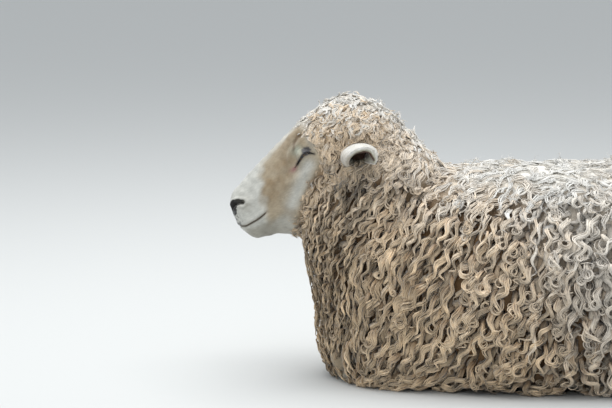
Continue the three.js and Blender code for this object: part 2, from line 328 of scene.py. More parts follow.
@dataclass(frozen=True)
class Neck(Form):
    """The neck and its bib of wool, up along Z: stations of its front, its rear and half its width."""

    stations: Stations = Stations((
        (-60, -328, -150, 96), (0, -354, -140, 112), (60, -379, -132, 126), (150, -391, -118, 142),
        (250, -407, -108, 148), (330, -402, -106, 138), (400, -372, -128, 124), (450, -342, -164, 112),
        (492, -318, -196, 100),
    ))
    start: float = -60.0
    end: float = 492.0
    first: Dome = Dome(20.0, 2.0)
    last: Dome = Dome(80.0, 2.2)
    swell: float = 4.0
    roundness: Pair = (2.3, 2.3)
    way: Pair = (0.0, 1.0)

    def widest(self, along: Array) -> Array | float:
        """How far the middle between front and rear lies to the front."""
        return -(self.stations.at(along, 1) + self.stations.at(along, 2)) / 2

    def section(self, along: Array) -> Spots:
        """Half the width, and half the depth from front to back twice."""
        half = (self.stations.at(along, 2) - self.stations.at(along, 1)) / 2
        return self.stations.at(along, 3), half, half


HEAD_TILT = math.radians(27.0)


@dataclass(frozen=True)
class Head(Form):
    """The head, from the muzzle up to the nape.

    Its stations are those of its top, its bottom, its widest line and half its width. The bridge of the nose
    is narrow in front of the wool, and the head is round behind it.
    """

    stations: Stations = Stations((
        (0, 27, -52, -14, 30), (22, 37, -69, -20, 36), (44, 46, -76, -24, 41), (68, 55, -83, -24, 45),
        (100, 67, -106, -20, 50), (134, 79, -119, -10, 57), (162, 88, -122, 6, 65), (190, 97, -120, 14, 73),
        (214, 102, -116, 6, 84), (250, 106, -110, 0, 98), (292, 107, -104, -8, 108), (340, 92, -98, -18, 106),
        (383, 66, -92, -24, 100),
    ))
    start: float = 0.0
    end: float = 383.0
    first: Dome = Dome(26.0, 2.6)
    last: Dome = Dome(92.0, 2.1)
    swell: float = 4.0
    roundness: Pair = (2.0, 2.2)
    origin: Pair = (-550.0, 321.0)
    way: Pair = (math.cos(HEAD_TILT), math.sin(HEAD_TILT))
    bridge: float = 1.85
    wool_at: float = 205.0

    def widest(self, along: Array) -> Array | float:
        """The height of the widest line."""
        return self.stations.at(along, 3)

    def section(self, along: Array) -> Spots:
        """Half the width, the height above and the depth below the widest line."""
        top, bottom, middle, half = (self.stations.at(along, column) for column in (1, 2, 3, 4))
        return half, top - middle, middle - bottom

    def powers(self, along: Array) -> tuple[Array | float, float]:
        """The bridge's roundness above in front of the wool."""
        return np.where(along < self.wool_at, self.bridge, self.roundness[0]), self.roundness[1]

    def swelling(self, along: Array) -> Array:
        """No clumps on the bare face."""
        return smooth(self.wool_at, self.wool_at + 50.0, along)


@dataclass(frozen=True)
class Tail(Form):
    """The docked tail, down the rump along Z: stations of its middle line and its radius."""

    stations: Stations = Stations((
        (-26, 528, 25), (0, 530, 27), (50, 546, 30), (105, 550, 24), (140, 546, 15),
    ))
    start: float = -26.0
    end: float = 154.0
    first: Dome = Dome(24.0, 2.0)
    last: Dome = Dome(15.0, 2.0)
    swell: float = 0.0
    roundness: Pair = (2.0, 2.0)
    origin: Pair = (0.0, 340.0)
    way: Pair = (0.0, -1.0)

    def widest(self, along: Array) -> Array | float:
        """How far the middle line lies to the rear."""
        return self.stations.at(along, 1)

    def section(self, along: Array) -> Spots:
        """A round section."""
        return (self.stations.at(along, 2),) * 3


TRUNK, NECK, HEAD, TAIL = Trunk(), Neck(), Head(), Tail()

# Where the face's short hair gives way to wool: the distance along the head at a height over its axis.
WOOL_LINE = Stations((
    (-125, 76), (-110, 82), (-69, 105), (-19, 152), (20, 200), (60, 204), (90, 200), (110, 196),
))


def wool_share(points: Array) -> Array:
    """0 on the bare face, 1 where the head's wool has its full depth, from the line where the wool begins."""
    along, _, height = HEAD.own(points)
    return smooth(-4.0, 26.0, along - WOOL_LINE.at(height, 1))


def wool_depth(form: Form, points: Array) -> Array:
    """How deep the skin lies under the wool: less over the back and the crown, hardly at all on the face."""
    z = points[..., 2]
    if isinstance(form, Trunk):
        return 25.0 - 18.5 * smooth(350, 402, z)
    if isinstance(form, Neck):
        return 24.0 - 17.0 * smooth(365, 415, z)
    if isinstance(form, Head):
        return 2.0 + (11.0 - 6.0 * smooth(430, 510, z)) * wool_share(points)
    return np.full_like(z, 7.0)


@dataclass(frozen=True)
class Outline:
    """The whole sheep as a distance field: forms joined with a small fillet, and a parting in the fleece."""

    fillet: float = 14.0
    parting: Line = ((-322, 392), (-330, 326), (-339, 232), (-349, 140), (-358, 84))
    parting_depth: float = 5.0
    parting_width: float = 16.0

    def crease(self, points: Array) -> Array:
        """1 in the parting between the throat's wool and the shoulder's, falling off as a bell beside it."""
        flat = points[..., [0, 2]]
        away, _ = near_line(flat, self.parting)
        broken = 0.75 + 0.45 * ripple(points, 34, 41)
        return bell(away, self.parting_width) * smooth(40, 70, np.abs(points[..., 1])) * broken

    def distance(self, points: Array) -> Array:
        """How far points lie outside the sheep.

        Two fields meet as min(a, b) - h^2 f / 4, where f is the fillet and h = max(f - |a - b|, 0) / f.
        """
        joined = TRUNK.distance(points)
        for form in (NECK, HEAD, TAIL):
            other = form.distance(points)
            h = np.maximum(self.fillet - np.abs(joined - other), 0) / self.fillet
            joined = np.minimum(joined, other) - h * h * self.fillet / 4
        return joined + self.parting_depth * self.crease(points)

    def normal(self, points: Array) -> Array:
        """Unit vectors out of the sheep, from differences over 2 mm."""
        slope = [self.distance(points + a * 2.0) - self.distance(points - a * 2.0) for a in np.eye(3)]
        return unit(np.stack(slope, axis=-1))


OUTLINE = Outline()

# An eye: its distance along the head, to the side and over the head's axis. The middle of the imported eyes,
# along the head and over its axis, gives the shift from the sheep's frame to the row's.
EYE_PLACE = (180.5, 50.5, 39.5)
EYE_RADIUS = 14.0
PACKED_EYE = (180.5, 39.5)


def row_shift() -> Array:
    """The shift from the sheep's frame to the row's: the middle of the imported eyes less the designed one."""
    boxes = np.array([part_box("eye_left"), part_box("eye_right")], dtype=float)
    packed = boxes.mean(axis=(0, 1)) / MM
    designed = HEAD.at(np.array(PACKED_EYE[0]), np.array(0.0), np.array(PACKED_EYE[1]))
    return packed - designed


SHIFT = row_shift()


def to_row(points: Array) -> Array:
    """Millimetres of the sheep's frame as metres of the row's."""
    return (points + SHIFT) * MM


@dataclass(frozen=True)
class Lids:
    """The nearly closed eye: a slit that arches from the inner to the outer corner, over the eyeball.

    Places are (along, height) on the head. The slit is read along the chord from its inner corner: the arch
    is its height over the chord, the gap half its opening, and the lid the thickness of the lids.
    """

    inner: Pair = (153.5, 27.5)
    outer: Pair = (200.0, 36.5)
    arch: Stations = Stations((
        (0, 0), (0.22, 3.4), (0.44, 7.8), (0.6, 10.2), (0.72, 10.4), (0.86, 6.8), (1.0, 0.0),
    ))
    gap: Stations = Stations(((0, 0.4), (0.25, 0.9), (0.45, 1.5), (0.65, 1.9), (0.85, 1.4), (1.0, 0.3)))
    lid: float = 2.4

    def chord(self, l: Array, h: Array) -> tuple[Array, Array]:
        """How far along the chord (0 to 1) a place lies, and how far over the middle of the slit."""
        start, end = np.asarray(self.inner), np.asarray(self.outer)
        length = float(np.linalg.norm(end - start))
        way = (end - start) / length
        dl, dh = l - start[0], h - start[1]
        p = (dl * way[0] + dh * way[1]) / length
        return p, (dh * way[0] - dl * way[1]) - self.arch.at(p, 1)

    def shape(self, l: Array, h: Array, side: Array) -> Array:
        """The side of the head around the eye: lids over the ball, a dip at the slit where the ball shows.

        Args:
            l: distances along the head.
            h: heights over the head's axis.
            side: how far out the plain head reaches there.

        Returns:
            How far out the lidded head reaches.
        """
        away = np.hypot(l - EYE_PLACE[0], h - EYE_PLACE[2])
        socket = side - 4.2 * bell(away, 19.0) - 2.2 * bell(np.hypot(l - 160, h - 26), 9.0)
        dome = EYE_PLACE[1] + np.sqrt(np.maximum((EYE_RADIUS + self.lid) ** 2 - away**2, 0.0))
        blend = 3.0
        h_mix = np.maximum(blend - np.abs(socket - dome), 0) / blend
        lidded = np.maximum(socket, dome) + h_mix * h_mix * blend / 4
        p, over = self.chord(l, h)
        inside = smooth(-0.03, 0.04, p) * (1 - smooth(0.96, 1.03, p))
        rim = 1.1 * bell(np.abs(over) - self.gap.at(p, 1) - 1.6, 1.5) * inside
        cut = (1 - smooth(0.0, 0.9, np.abs(over) - self.gap.at(p, 1))) * inside
        crease = 1.3 * bell(over - 9.0, 1.6) * inside * smooth(0.2, 0.5, p)
        depth = 2.6 + 2.2 * bell(p - 0.55, 0.45)
        return lidded + rim - crease - depth * cut


LIDS = Lids()

# The line of the lips: the distance along the head, and its height over the head's axis.
LIPS = Stations((
    (-4, -29), (7, -31), (15, -33.4), (29, -32.8), (45, -31.2), (56, -28.8), (63, -26.6), (69, -24),
))

# ---- Markings ----


@dataclass(frozen=True)
class Markings:
    """The colours of hair, wool and bare skin at a place, in linear light, shared by skin and coat, with
    painted shade in creases, in hollows and deep in the coat.

    The lines of the face are read at (distance along the head, height over its axis).
    """

    white: Colour = linear(190, 190, 183)
    cream: Colour = linear(186, 178, 160)
    tan: Colour = linear(138, 120, 94)
    pale: Colour = linear(170, 178, 164)
    nose: Colour = linear(17, 15, 15)
    mottle: Colour = linear(84, 86, 86)
    pink: Colour = linear(140, 92, 92)
    lip: Colour = linear(122, 116, 100)
    mouth: Colour = linear(70, 56, 38)
    slate: Colour = linear(66, 68, 76)
    sand: Colour = linear(165, 152, 130)
    beige: Colour = linear(214, 192, 162)
    brown: Colour = linear(150, 128, 96)
    fleece_white: Colour = linear(226, 224, 218)
    # Dark brown, laid on the face as painted shade in the fold over the eye and in the dimple at the corner of
    # the mouth.
    root: Colour = linear(92, 72, 50)
    # Multipliers for the painted shade deep in the coat: strong at the sides, hardly any on top.
    under: Colour = (0.34, 0.25, 0.165)
    top_under: Colour = (0.95, 0.93, 0.90)
    # Red-brown skin of the ear's hollow, dark enough to stand for the shade deep inside it.
    hollow: Colour = linear(62, 36, 22)
    lining: Colour = linear(160, 156, 138)
    ear_white: Colour = linear(210, 208, 202)
    band: Line = ((64, 14), (88, 4), (104, 22), (124, 20), (148, 52), (166, 70), (196, 82))
    spots: Line = ((107, -50), (112, -36))
    cheek: Line = ((180, 22), (160, 4), (134, -18), (116, -34))
    fold: Line = ((160, 46), (167, 60), (174, 70), (185, 77.5), (200, 77), (216, 71))
    wing: Line = ((4.0, 3.0), (8.0, 11.0), (16.0, 15.5), (25.0, 14.5), (31.0, 11.5))
    eye_side: float = 34.0

    @staticmethod
    def mix(base: Array, colour: Colour, share: Array) -> Array:
        """A colour laid over others by a share."""
        return base + (np.asarray(colour) - base) * np.clip(share, 0, 1)[..., None]

    def laid(self, points: Array, ground: Colour, layers: list[Layer]) -> Array:
        """A ground colour at every point, with layers of other colours laid over it in order."""
        base = np.broadcast_to(np.asarray(ground), points.shape)
        for colour, share in layers:
            base = self.mix(base, colour, share)
        return base

    def wool(self, points: Array) -> Array:
        """The wool's outer colour: beige, off-white over back, rear and crown, browner low in front, with
        painted shade in the parting down the neck and in the hollow under the ear.
        """
        x, out, z = points[..., 0], np.abs(points[..., 1]), points[..., 2]
        pale = np.maximum.reduce([
            0.8 * smooth(-110, 310, x + 0.6 * (z - 200) + 60 * ripple(points, 240, 3)),
            smooth(325, 415, z + 18 * ripple(points, 120, 4)) * smooth(-220, -60, x),
            0.9 * smooth(498, 556, z + 12 * ripple(points, 50, 5)) * (x < -190),
            0.3 * smooth(320, 400, z + 14 * ripple(points, 60, 8)) * smooth(-300, -220, x),
            0.9 * smooth(58, 18, out) * smooth(385, 430, z) * (x < -100),
        ])
        base = self.laid(points, self.beige, [
            (self.fleece_white, pale),
            (self.brown, 0.47 * smooth(320, 60, z) * (1 - 0.5 * smooth(0, 300, x))),
            (self.brown, 0.4 * smooth(-90, -190, x) * smooth(345, 280, z) * smooth(90, 170, z)),
            (self.brown, 0.35 * smooth(-260, -340, x) * smooth(330, 240, z)),
        ])
        # Painted shade: darker in the parting between throat and shoulder wool, and in the hollow under the
        # ear.
        shade = 0.45 * OUTLINE.crease(points) * smooth(160, 260, z)
        hollow = 0.85 * bell(np.hypot(x + 313, (z - 396) * 0.5), 27.0) * (out > 60)
        return base * (1 - np.maximum(shade, hollow))[..., None]

    def depth(self, points: Array) -> Array:
        """What the wool's colour is multiplied by deep in the coat, as painted shade between the locks: dark
        at the sides, light on top.
        """
        x, z = points[..., 0], points[..., 2]
        top = np.maximum.reduce([
            smooth(335, 400, z) * smooth(-250, -160, x),
            smooth(385, 440, z) * smooth(-140, -200, x),
            0.4 * smooth(-315, -350, x) * smooth(245, 285, z),
            0.9 * smooth(-100, 100, x) * smooth(140, 300, z),
        ])
        deep, light = np.asarray(self.under), np.asarray(self.top_under)
        return deep + (light - deep) * top[..., None]

    def face(self, points: Array) -> Array:
        """The face: white and tan short hair, and bare skin at the nose, the lips and the lids, with painted
        shade in the fold over the eye, the corner of the mouth, the groove of the lips, the eye's slit and
        over the chin.
        """
        l, side, h = HEAD.own(points)
        out, flat = np.abs(side), np.stack([l, h], axis=-1)
        patchy = 0.75 + 0.35 * ripple(points, 23, 6) + 0.2 * ripple(points, 9, 7)
        band, spots, cheek = (near_line(flat, line)[0] for line in (self.band, self.spots, self.cheek))
        fold, run = near_line(flat, self.fold)
        hair = [
            (self.tan, 0.9 * bell(band, 24) * patchy),
            (self.tan, 0.5 * bell(np.hypot(l - 74, h - 12), 20) * patchy),
            (self.tan, 0.8 * bell(spots, 11) * patchy),
            (self.white, 0.7 * smooth(24, 10, out) * smooth(-10, 20, h)),
            (self.white, 0.95 * smooth(82, 60, l - 0.35 * h + 6 * ripple(points, 25, 13))),
            (self.white, 0.8 * smooth(-34, -58, h + 6 * ripple(points, 25, 15)) * smooth(120, 90, l)),
            (self.white, 0.85 * bell(cheek, 14)),
            (self.pale, 0.7 * bell(np.hypot(l - 172, (h - 56) * 1.1), 12)),
            (self.white, 0.7 * smooth(190, 214, l) * smooth(30, 60, h)),
            # Painted shade in the fold over the eye.
            (self.root, 0.7 * bell(fold, 3.2) * smooth(0.0, 0.3, run) * smooth(1.0, 0.8, run)),
        ]
        wing, run = near_line(flat, self.wing)
        lip = smooth(20, 4, l) * smooth(-36, -28, h) * smooth(8, 0, h)
        dots = smooth(0.05, 0.5, ripple(points, 6.5, 10) + 0.5 * ripple(points, 3.2, 12) + 0.5 * lip)
        line = np.abs(h - LIPS.at(l, 1))
        p, over = LIDS.chord(l, h)
        beside = out > self.eye_side
        eye = beside * smooth(-0.12, 0.02, p) * smooth(1.12, 0.98, p)
        lashed = np.hypot((l - 188.5) / 11.0, (h - 48.0) / 9.0) + 0.15 * ripple(points, 6, 16)
        bare = [
            (self.nose, smooth(1.2, -1.2, wing + ripple(points, 6, 9) - 10.0 + 5.4 * run) * (l < 44)),
            (self.mottle, 0.85 * lip * dots),
            (self.lip, 0.55 * bell(line + 1.0, 4.5) * smooth(70, 50, l) * (l < 72)),
            # The line of the mouth: dark lip edges, with painted shade in the groove between the lips.
            (self.mouth, 0.9 * smooth(2.4, 0.8, line) * smooth(68, 60, l) * (l < 70)),
            # Painted shade over the lower jaw and chin, in the lips' greyish colour.
            (self.lip, 0.6 * smooth(-34, -50, h + 3 * ripple(points, 12, 18)) * smooth(125, 45, l)),
            (self.lip, 0.4 * bell(np.hypot(l - 34, h - 4), 15) * (0.8 + 0.5 * ripple(points, 11, 19))),
            # Painted shade in the dimple at the corner of the mouth.
            (self.root, 0.35 * bell(np.hypot(l - 68, h + 26), 3.0)),
            (self.pink, 0.8 * beside * bell(p + 0.06, 0.17) * bell(over + 1.0, 4.6)),
            # Dark lid rims along the slit of the eye, with painted shade in the slit.
            (self.nose, 0.92 * eye * smooth(0.02, 0.2, p) * bell(over, 2.8 + 1.4 * (over > 0))),
            (self.slate, 0.85 * beside * smooth(1.15, 0.6, lashed)),
        ]
        return self.laid(points, self.sand, hair + bare)

    def ear(self, points: Array, t: Array, angle: Array, beyond: Array) -> Array:
        """The ears: white hair on the back and the rims, pale hair just inside, and a red-brown hollow
        darkened as painted shade deep inside.
        """
        return self.laid(points, self.ear_white, [
            (self.cream, 0.5 * smooth(-0.4, 0.8, ripple(points, 14, 14))),
            (self.tan, 0.6 * smooth(0.62, 0.2, t)),
            (self.tan, 0.5 * smooth(math.radians(40), math.radians(100), angle)),
            (self.lining, smooth(0.80, 0.68, beyond)),
            # Painted shade deep in the ear's hollow, over its red-brown skin.
            (self.hollow, smooth(0.66, 0.57, beyond + 0.05 * ripple(points, 9, 20))),
        ])


MARKINGS = Markings()

# ---- Meshes ----


def paint(mesh: bpy.types.Mesh, colours: Array) -> None:
    """Writes a linear colour for each vertex of a mesh, as the attribute "tint"."""
    rgba = np.concatenate([colours, np.ones((len(colours), 1))], axis=1)
    layer = mesh.color_attributes.new("tint", "FLOAT_COLOR", "POINT")
    layer.data.foreach_set("color", rgba.astype(np.float32).ravel())


def read_tint(mesh: bpy.types.Mesh) -> Array:
    """The linear colour of each vertex of a mesh."""
    flat = np.empty(len(mesh.vertices) * 4, dtype=np.float32)
    mesh.color_attributes["tint"].data.foreach_get("color", flat)
    return flat.reshape(-1, 4)[:, :3].astype(float)


def read_vectors(parts: bpy.types.bpy_prop_collection, label: str) -> Array:
    """One vector property of every vertex or face of a mesh."""
    flat = np.empty(len(parts) * 3, dtype=np.float32)
    parts.foreach_get(label, flat)
    return flat.reshape(-1, 3).astype(float)


def from_row(places: Array) -> Array:
    """Metres of the row's frame as millimetres of the sheep's, the reverse of to_row."""
    return places / MM - SHIFT


def make_object(
    name: str,
    points: Array,
    quads: Faces,
    tris: Faces,
    colours: Array | None = None,
    maps: dict[str, Array] | None = None,
) -> Piece:
    """An object from arrays, smooth shaded, at the origin and linked to the scene.

    Args:
        name: the piece's name.
        points: vertices in millimetres of the sheep's frame, shape (n, 3).
        quads: faces of four corners, shape (q, 4).
        tris: faces of three corners, shape (t, 3).
        colours: a linear colour for each vertex.
        maps: UV maps by name, one (u, v) for each vertex.

    Returns:
        The object.
    """
    mesh = bpy.data.meshes.new(name)
    corners = np.concatenate([quads.ravel(), tris.ravel()]).astype(np.int32)
    starts = np.concatenate([np.arange(len(quads)) * 4, len(quads) * 4 + np.arange(len(tris)) * 3])
    mesh.vertices.add(len(points))
    mesh.vertices.foreach_set("co", to_row(points).astype(np.float32).ravel())
    mesh.loops.add(len(corners))
    mesh.loops.foreach_set("vertex_index", corners)
    mesh.polygons.add(len(starts))
    mesh.polygons.foreach_set("loop_start", starts.astype(np.int32))
    mesh.polygons.foreach_set("use_smooth", np.ones(len(starts), dtype=bool))
    for label, uv in (maps or {}).items():
        layer = mesh.uv_layers.new(name=label)
        layer.uv.foreach_set("vector", uv[corners].astype(np.float32).ravel())
    if colours is not None:
        paint(mesh, colours)
    mesh.update()
    mesh.validate()
    piece = bpy.data.objects.new(name, mesh)
    bpy.context.scene.collection.objects.link(piece)
    return piece


def closed_grid(grid: Array) -> tuple[Array, Faces, Faces]:
    """A closed skin over rings of points, with each end ring closed on its middle.

    The faces are turned over where the volume that they enclose, the sum of a . (b x c) / 6 over triangles,
    comes out negative, so that they always point outwards.

    Args:
        grid: points of shape (rings, sides, 3).

    Returns:
        Vertices, quads and triangles.
    """
    rings, sides = grid.shape[:2]
    index = np.arange(rings * sides).reshape(rings, sides)
    turned = np.roll(index, -1, axis=1)
    quads = np.stack([index[:-1], turned[:-1], turned[1:], index[1:]], axis=-1).reshape(-1, 4)
    ends = np.stack([grid[0].mean(axis=0), grid[-1].mean(axis=0)])
    low, high = rings * sides, rings * sides + 1
    first = np.stack([np.full(sides, low), turned[0], index[0]], axis=-1)
    last = np.stack([np.full(sides, high), index[-1], turned[-1]], axis=-1)
    points, tris = np.concatenate([grid.reshape(-1, 3), ends]), np.concatenate([first, last])
    split = np.concatenate([quads[:, :3], quads[:, [0, 2, 3]], tris])
    a, b, c = points[split[:, 0]], points[split[:, 1]], points[split[:, 2]]
    if np.sum(a * np.cross(b, c)) < 0:
        quads, tris = quads[:, ::-1], tris[:, ::-1]
    return points, quads, tris


def grid_normals(grid: Array) -> Array:
    """Unit normals of a ringed grid, from the cross product of its steps along and round."""
    along = np.gradient(grid, axis=0)
    round_ = (np.roll(grid, -1, axis=1) - np.roll(grid, 1, axis=1)) / 2
    return unit(np.cross(round_, along))


# ---- Finishes ----


def set_inputs(tree: Tree, node: Node, inputs: Inputs) -> None:
    """Sets a node's inputs by name or number to values, or links them where the value is a socket."""
    for key, value in inputs.items():
        if isinstance(value, bpy.types.NodeSocket):
            tree.links.new(value, node.inputs[key])
        else:
            node.inputs[key].default_value = value


def add_node(tree: Tree, kind: str, inputs: Inputs, **settings: str) -> Node:
    """A new node in a tree.

    Args:
        tree: the tree that it joins.
        kind: the node's type.
        inputs: values, or the sockets that feed them, by the input's name or number.
        settings: the node's own properties.

    Returns:
        The node.
    """
    node = tree.nodes.new(kind)
    for label, value in settings.items():
        setattr(node, label, value)
    set_inputs(tree, node, inputs)
    return node


def add_bump(tree: Tree, shader: Node, height: bpy.types.NodeSocket, strength: float, relief: float) -> None:
    """Bumps a shader by a height that is relief metres deep."""
    bump = add_node(tree, "ShaderNodeBump", {"Strength": strength, "Distance": relief, "Height": height})
    set_inputs(tree, shader, {"Normal": bump.outputs["Normal"]})


def new_material(name: str) -> tuple[Material, Tree, Node]:
    """A new material, its node tree and its shader."""
    material = bpy.data.materials.new(name)
    material.use_nodes = True
    return material, material.node_tree, material.node_tree.nodes["Principled BSDF"]


def fibre_group() -> Tree:
    """Hair seen close: fine streaks and mottling of the marked colour, and a height for bump.

    The marked colour is multiplied by 1 + spread * (streaks + mottling - 1), two noises of which the first is
    drawn out along the hair, and the height is that of the streaks.
    """
    group = bpy.data.node_groups.new("hair_fibre", "ShaderNodeTree")
    for label, way, kind in (
        ("Vector", "INPUT", "NodeSocketVector"),
        ("Scale", "INPUT", "NodeSocketFloat"),
        ("Spread", "INPUT", "NodeSocketFloat"),
        ("Mottle scale", "INPUT", "NodeSocketFloat"),
        ("Colour", "OUTPUT", "NodeSocketColor"),
        ("Height", "OUTPUT", "NodeSocketFloat"),
    ):
        socket = group.interface.new_socket(name=label, in_out=way, socket_type=kind)
        if kind == "NodeSocketVector":
            socket.hide_value = True
    given = add_node(group, "NodeGroupInput", {}).outputs
    tint = add_node(group, "ShaderNodeAttribute", {}, attribute_name="tint").outputs["Color"]
    place = add_node(group, "ShaderNodeTexCoord", {}).outputs["Object"]
    streaks, mottling = (
        add_node(
            group, "ShaderNodeTexNoise", {"Detail": 3.0, "Vector": vector, "Scale": given[scale]}
        ).outputs["Fac"]
        for vector, scale in ((given["Vector"], "Scale"), (place, "Mottle scale"))
    )
    both = add_node(group, "ShaderNodeMath", {0: streaks, 1: mottling}, operation="ADD")
    centred = add_node(group, "ShaderNodeMath", {0: both.outputs[0], 1: 1.0}, operation="SUBTRACT")
    terms = {0: centred.outputs[0], 1: given["Spread"], 2: 1.0}
    factor = add_node(group, "ShaderNodeMath", terms, operation="MULTIPLY_ADD")
    scaled = {0: tint, "Scale": factor.outputs[0]}
    painted = add_node(group, "ShaderNodeVectorMath", scaled, operation="SCALE")
    add_node(group, "NodeGroupOutput", {"Colour": painted.outputs[0], "Height": streaks})
    return group


class Grain(Enum):
    """What the streaks of hair run along."""

    STRAND = "the strand's own map"
    HEAD = "the head's axis"
    UPRIGHT = "the height"


@dataclass(frozen=True)
class HairFinish:
    """Hair or wool: the marked colour with streaks along it, matt with a little sheen.
    """

    name: str
    roughness: float
    sheen: float
    spread: float
    bump: float
    relief: float
    stretch: Place
    grain: Grain = Grain.STRAND
    mottle: float = 45.0
    specular: float = 0.35

    def make(self, group: Tree) -> Material:
        """The material, with the fibre group placed in it."""
        material, tree, shader = new_material(self.name)
        if self.grain is Grain.STRAND:
            source = add_node(tree, "ShaderNodeUVMap", {}, uv_map="fibre").outputs["UV"]
        else:
            source = add_node(tree, "ShaderNodeTexCoord", {}).outputs["Object"]
        turn = (0.0, -HEAD_TILT if self.grain is Grain.HEAD else 0.0, 0.0)
        placed = {"Vector": source, "Scale": self.stretch, "Rotation": turn}
        kind = "POINT" if self.grain is Grain.STRAND else "TEXTURE"
        mapping = add_node(tree, "ShaderNodeMapping", placed, vector_type=kind)
        fibre = tree.nodes.new("ShaderNodeGroup")
        fibre.node_tree = group
        set_inputs(tree, fibre, {
            "Vector": mapping.outputs["Vector"],
            "Scale": 1.0,
            "Spread": self.spread,
            "Mottle scale": self.mottle,
        })
        set_inputs(tree, shader, {
            "Base Color": fibre.outputs["Colour"],
            "Roughness": self.roughness,
            "Specular IOR Level": self.specular,
            "Sheen Weight": self.sheen,
            "Sheen Roughness": 0.5,
        })
        add_bump(tree, shader, fibre.outputs["Height"], self.bump, self.relief)
        return material


@dataclass(frozen=True)
class SmoothFinish:
    """A hard or wet surface that shows the marked colour: horn, or an eyeball under its clear coat.
    """

    name: str
    roughness: float
    coat: float
    bump: float
    scale: float

    def make(self) -> Material:
        """The material, with a fine noise in its bump and its roughness."""
        material, tree, shader = new_material(self.name)
        colour = add_node(tree, "ShaderNodeAttribute", {}, attribute_name="tint").outputs["Color"]
        place = add_node(tree, "ShaderNodeTexCoord", {}).outputs["Object"]
        noise = add_node(tree, "ShaderNodeTexNoise", {"Scale": self.scale, "Vector": place}).outputs["Fac"]
        rough = {"Value": noise, "To Min": self.roughness * 0.8, "To Max": self.roughness * 1.2}
        set_inputs(tree, shader, {
            "Base Color": colour,
            "Roughness": add_node(tree, "ShaderNodeMapRange", rough).outputs["Result"],
            "Coat Weight": self.coat,
            "Coat Roughness": 0.04,
        })
        add_bump(tree, shader, noise, self.bump, 0.0004)
        return material


# ---- The skin ----


class Side(Enum):
    """The sheep's two sides, by the sign of Y."""

    LEFT = -1
    RIGHT = 1

    @property
    def label(self) -> str:
        """The side's word in names."""
        return self.name.lower()


@dataclass(frozen=True)
class Limb:
    """A length of a left leg: the places on its middle line, its radius at each, and the right leg's tuck."""

    places: tuple[tuple[float, float, float], ...]
    radii: tuple[float, ...]
    tuck: Pair = (0.0, 0.0)

    def rings(self, side: Side, rings: int = 26, sides: int = 28, inset: float = 1.5) -> Array:
        """The limb as rings of points round its middle line, rounded at both ends.

        Within a radius r of an end, at a distance d from it, the radius is r * sqrt(1 - (1 - d / r)^2).

        Args:
            side: the side of the body. A right limb is the left one mirrored, and moved in by the tuck.
            rings: how many rings.
            sides: how many points on a ring.
            inset: how far the skin lies under the hair.

        Returns:
            Points of shape (rings, sides, 3).
        """
        line = np.asarray(self.places)
        if side is Side.RIGHT:
            line = line * (1, -1, 1) - np.outer(np.linspace(*self.tuck, len(line)), (0, 1, 0))
        t = 0.5 - 0.5 * np.cos(np.linspace(0.03, 0.97, rings) * math.pi)
        middle = along_curves(line[None], t[None])[0]
        length = np.linalg.norm(np.diff(middle, axis=0), axis=1).sum()
        radius = Stations(tuple(zip(np.linspace(0, 1, len(self.radii)), self.radii))).at(t, 1)
        to_end = np.minimum(np.minimum(t, 1 - t) * length / radius, 1)
        reach = (radius - inset) * np.sqrt(1 - (1 - to_end) ** 2)
        heading = unit(np.gradient(middle, axis=0))
        across = unit(np.cross([0.0, 1.0, 0.0], heading))
        other = np.cross(heading, across)
        turn = np.linspace(0, TAU, sides, endpoint=False)[:, None]
        section = np.cos(turn) * across[:, None] + np.sin(turn) * other[:, None]
        return middle[:, None] + section * reach[:, None, None]


LIMBS = {
    "forearm": Limb(
        ((-208, -100, 134), (-258, -90, 100), (-310, -78, 62), (-350, -70, 35)),
        (36, 32, 26, 28),
    ),
    "fore_cannon": Limb(
        ((-336, -70, 20), (-300, -70, 16), (-240, -68, 16), (-212, -67, 18), (-182, -66, 16)),
        (20, 16, 15.5, 18.5, 16),
    ),
    "shank": Limb(
        ((262, -172, 150), (318, -190, 112), (376, -206, 74), (424, -216, 44)),
        (52, 44, 31, 27),
    ),
    "hind_cannon": Limb(
        ((418, -217, 22), (376, -226, 17), (322, -240, 16), (294, -247, 18), (268, -250, 16)),
        (22, 17, 16, 18.5, 16),
        (6.8, 34.0),
    ),
}

def leg_gap(points: Array) -> Array:
    """The distance from points to the middle line of the nearest length of leg."""
    lines = [np.asarray(limb.places) * (1, side.value, 1) for side in Side for limb in LIMBS.values()]
    return np.min([near_line(points, line)[0] for line in lines], axis=0)


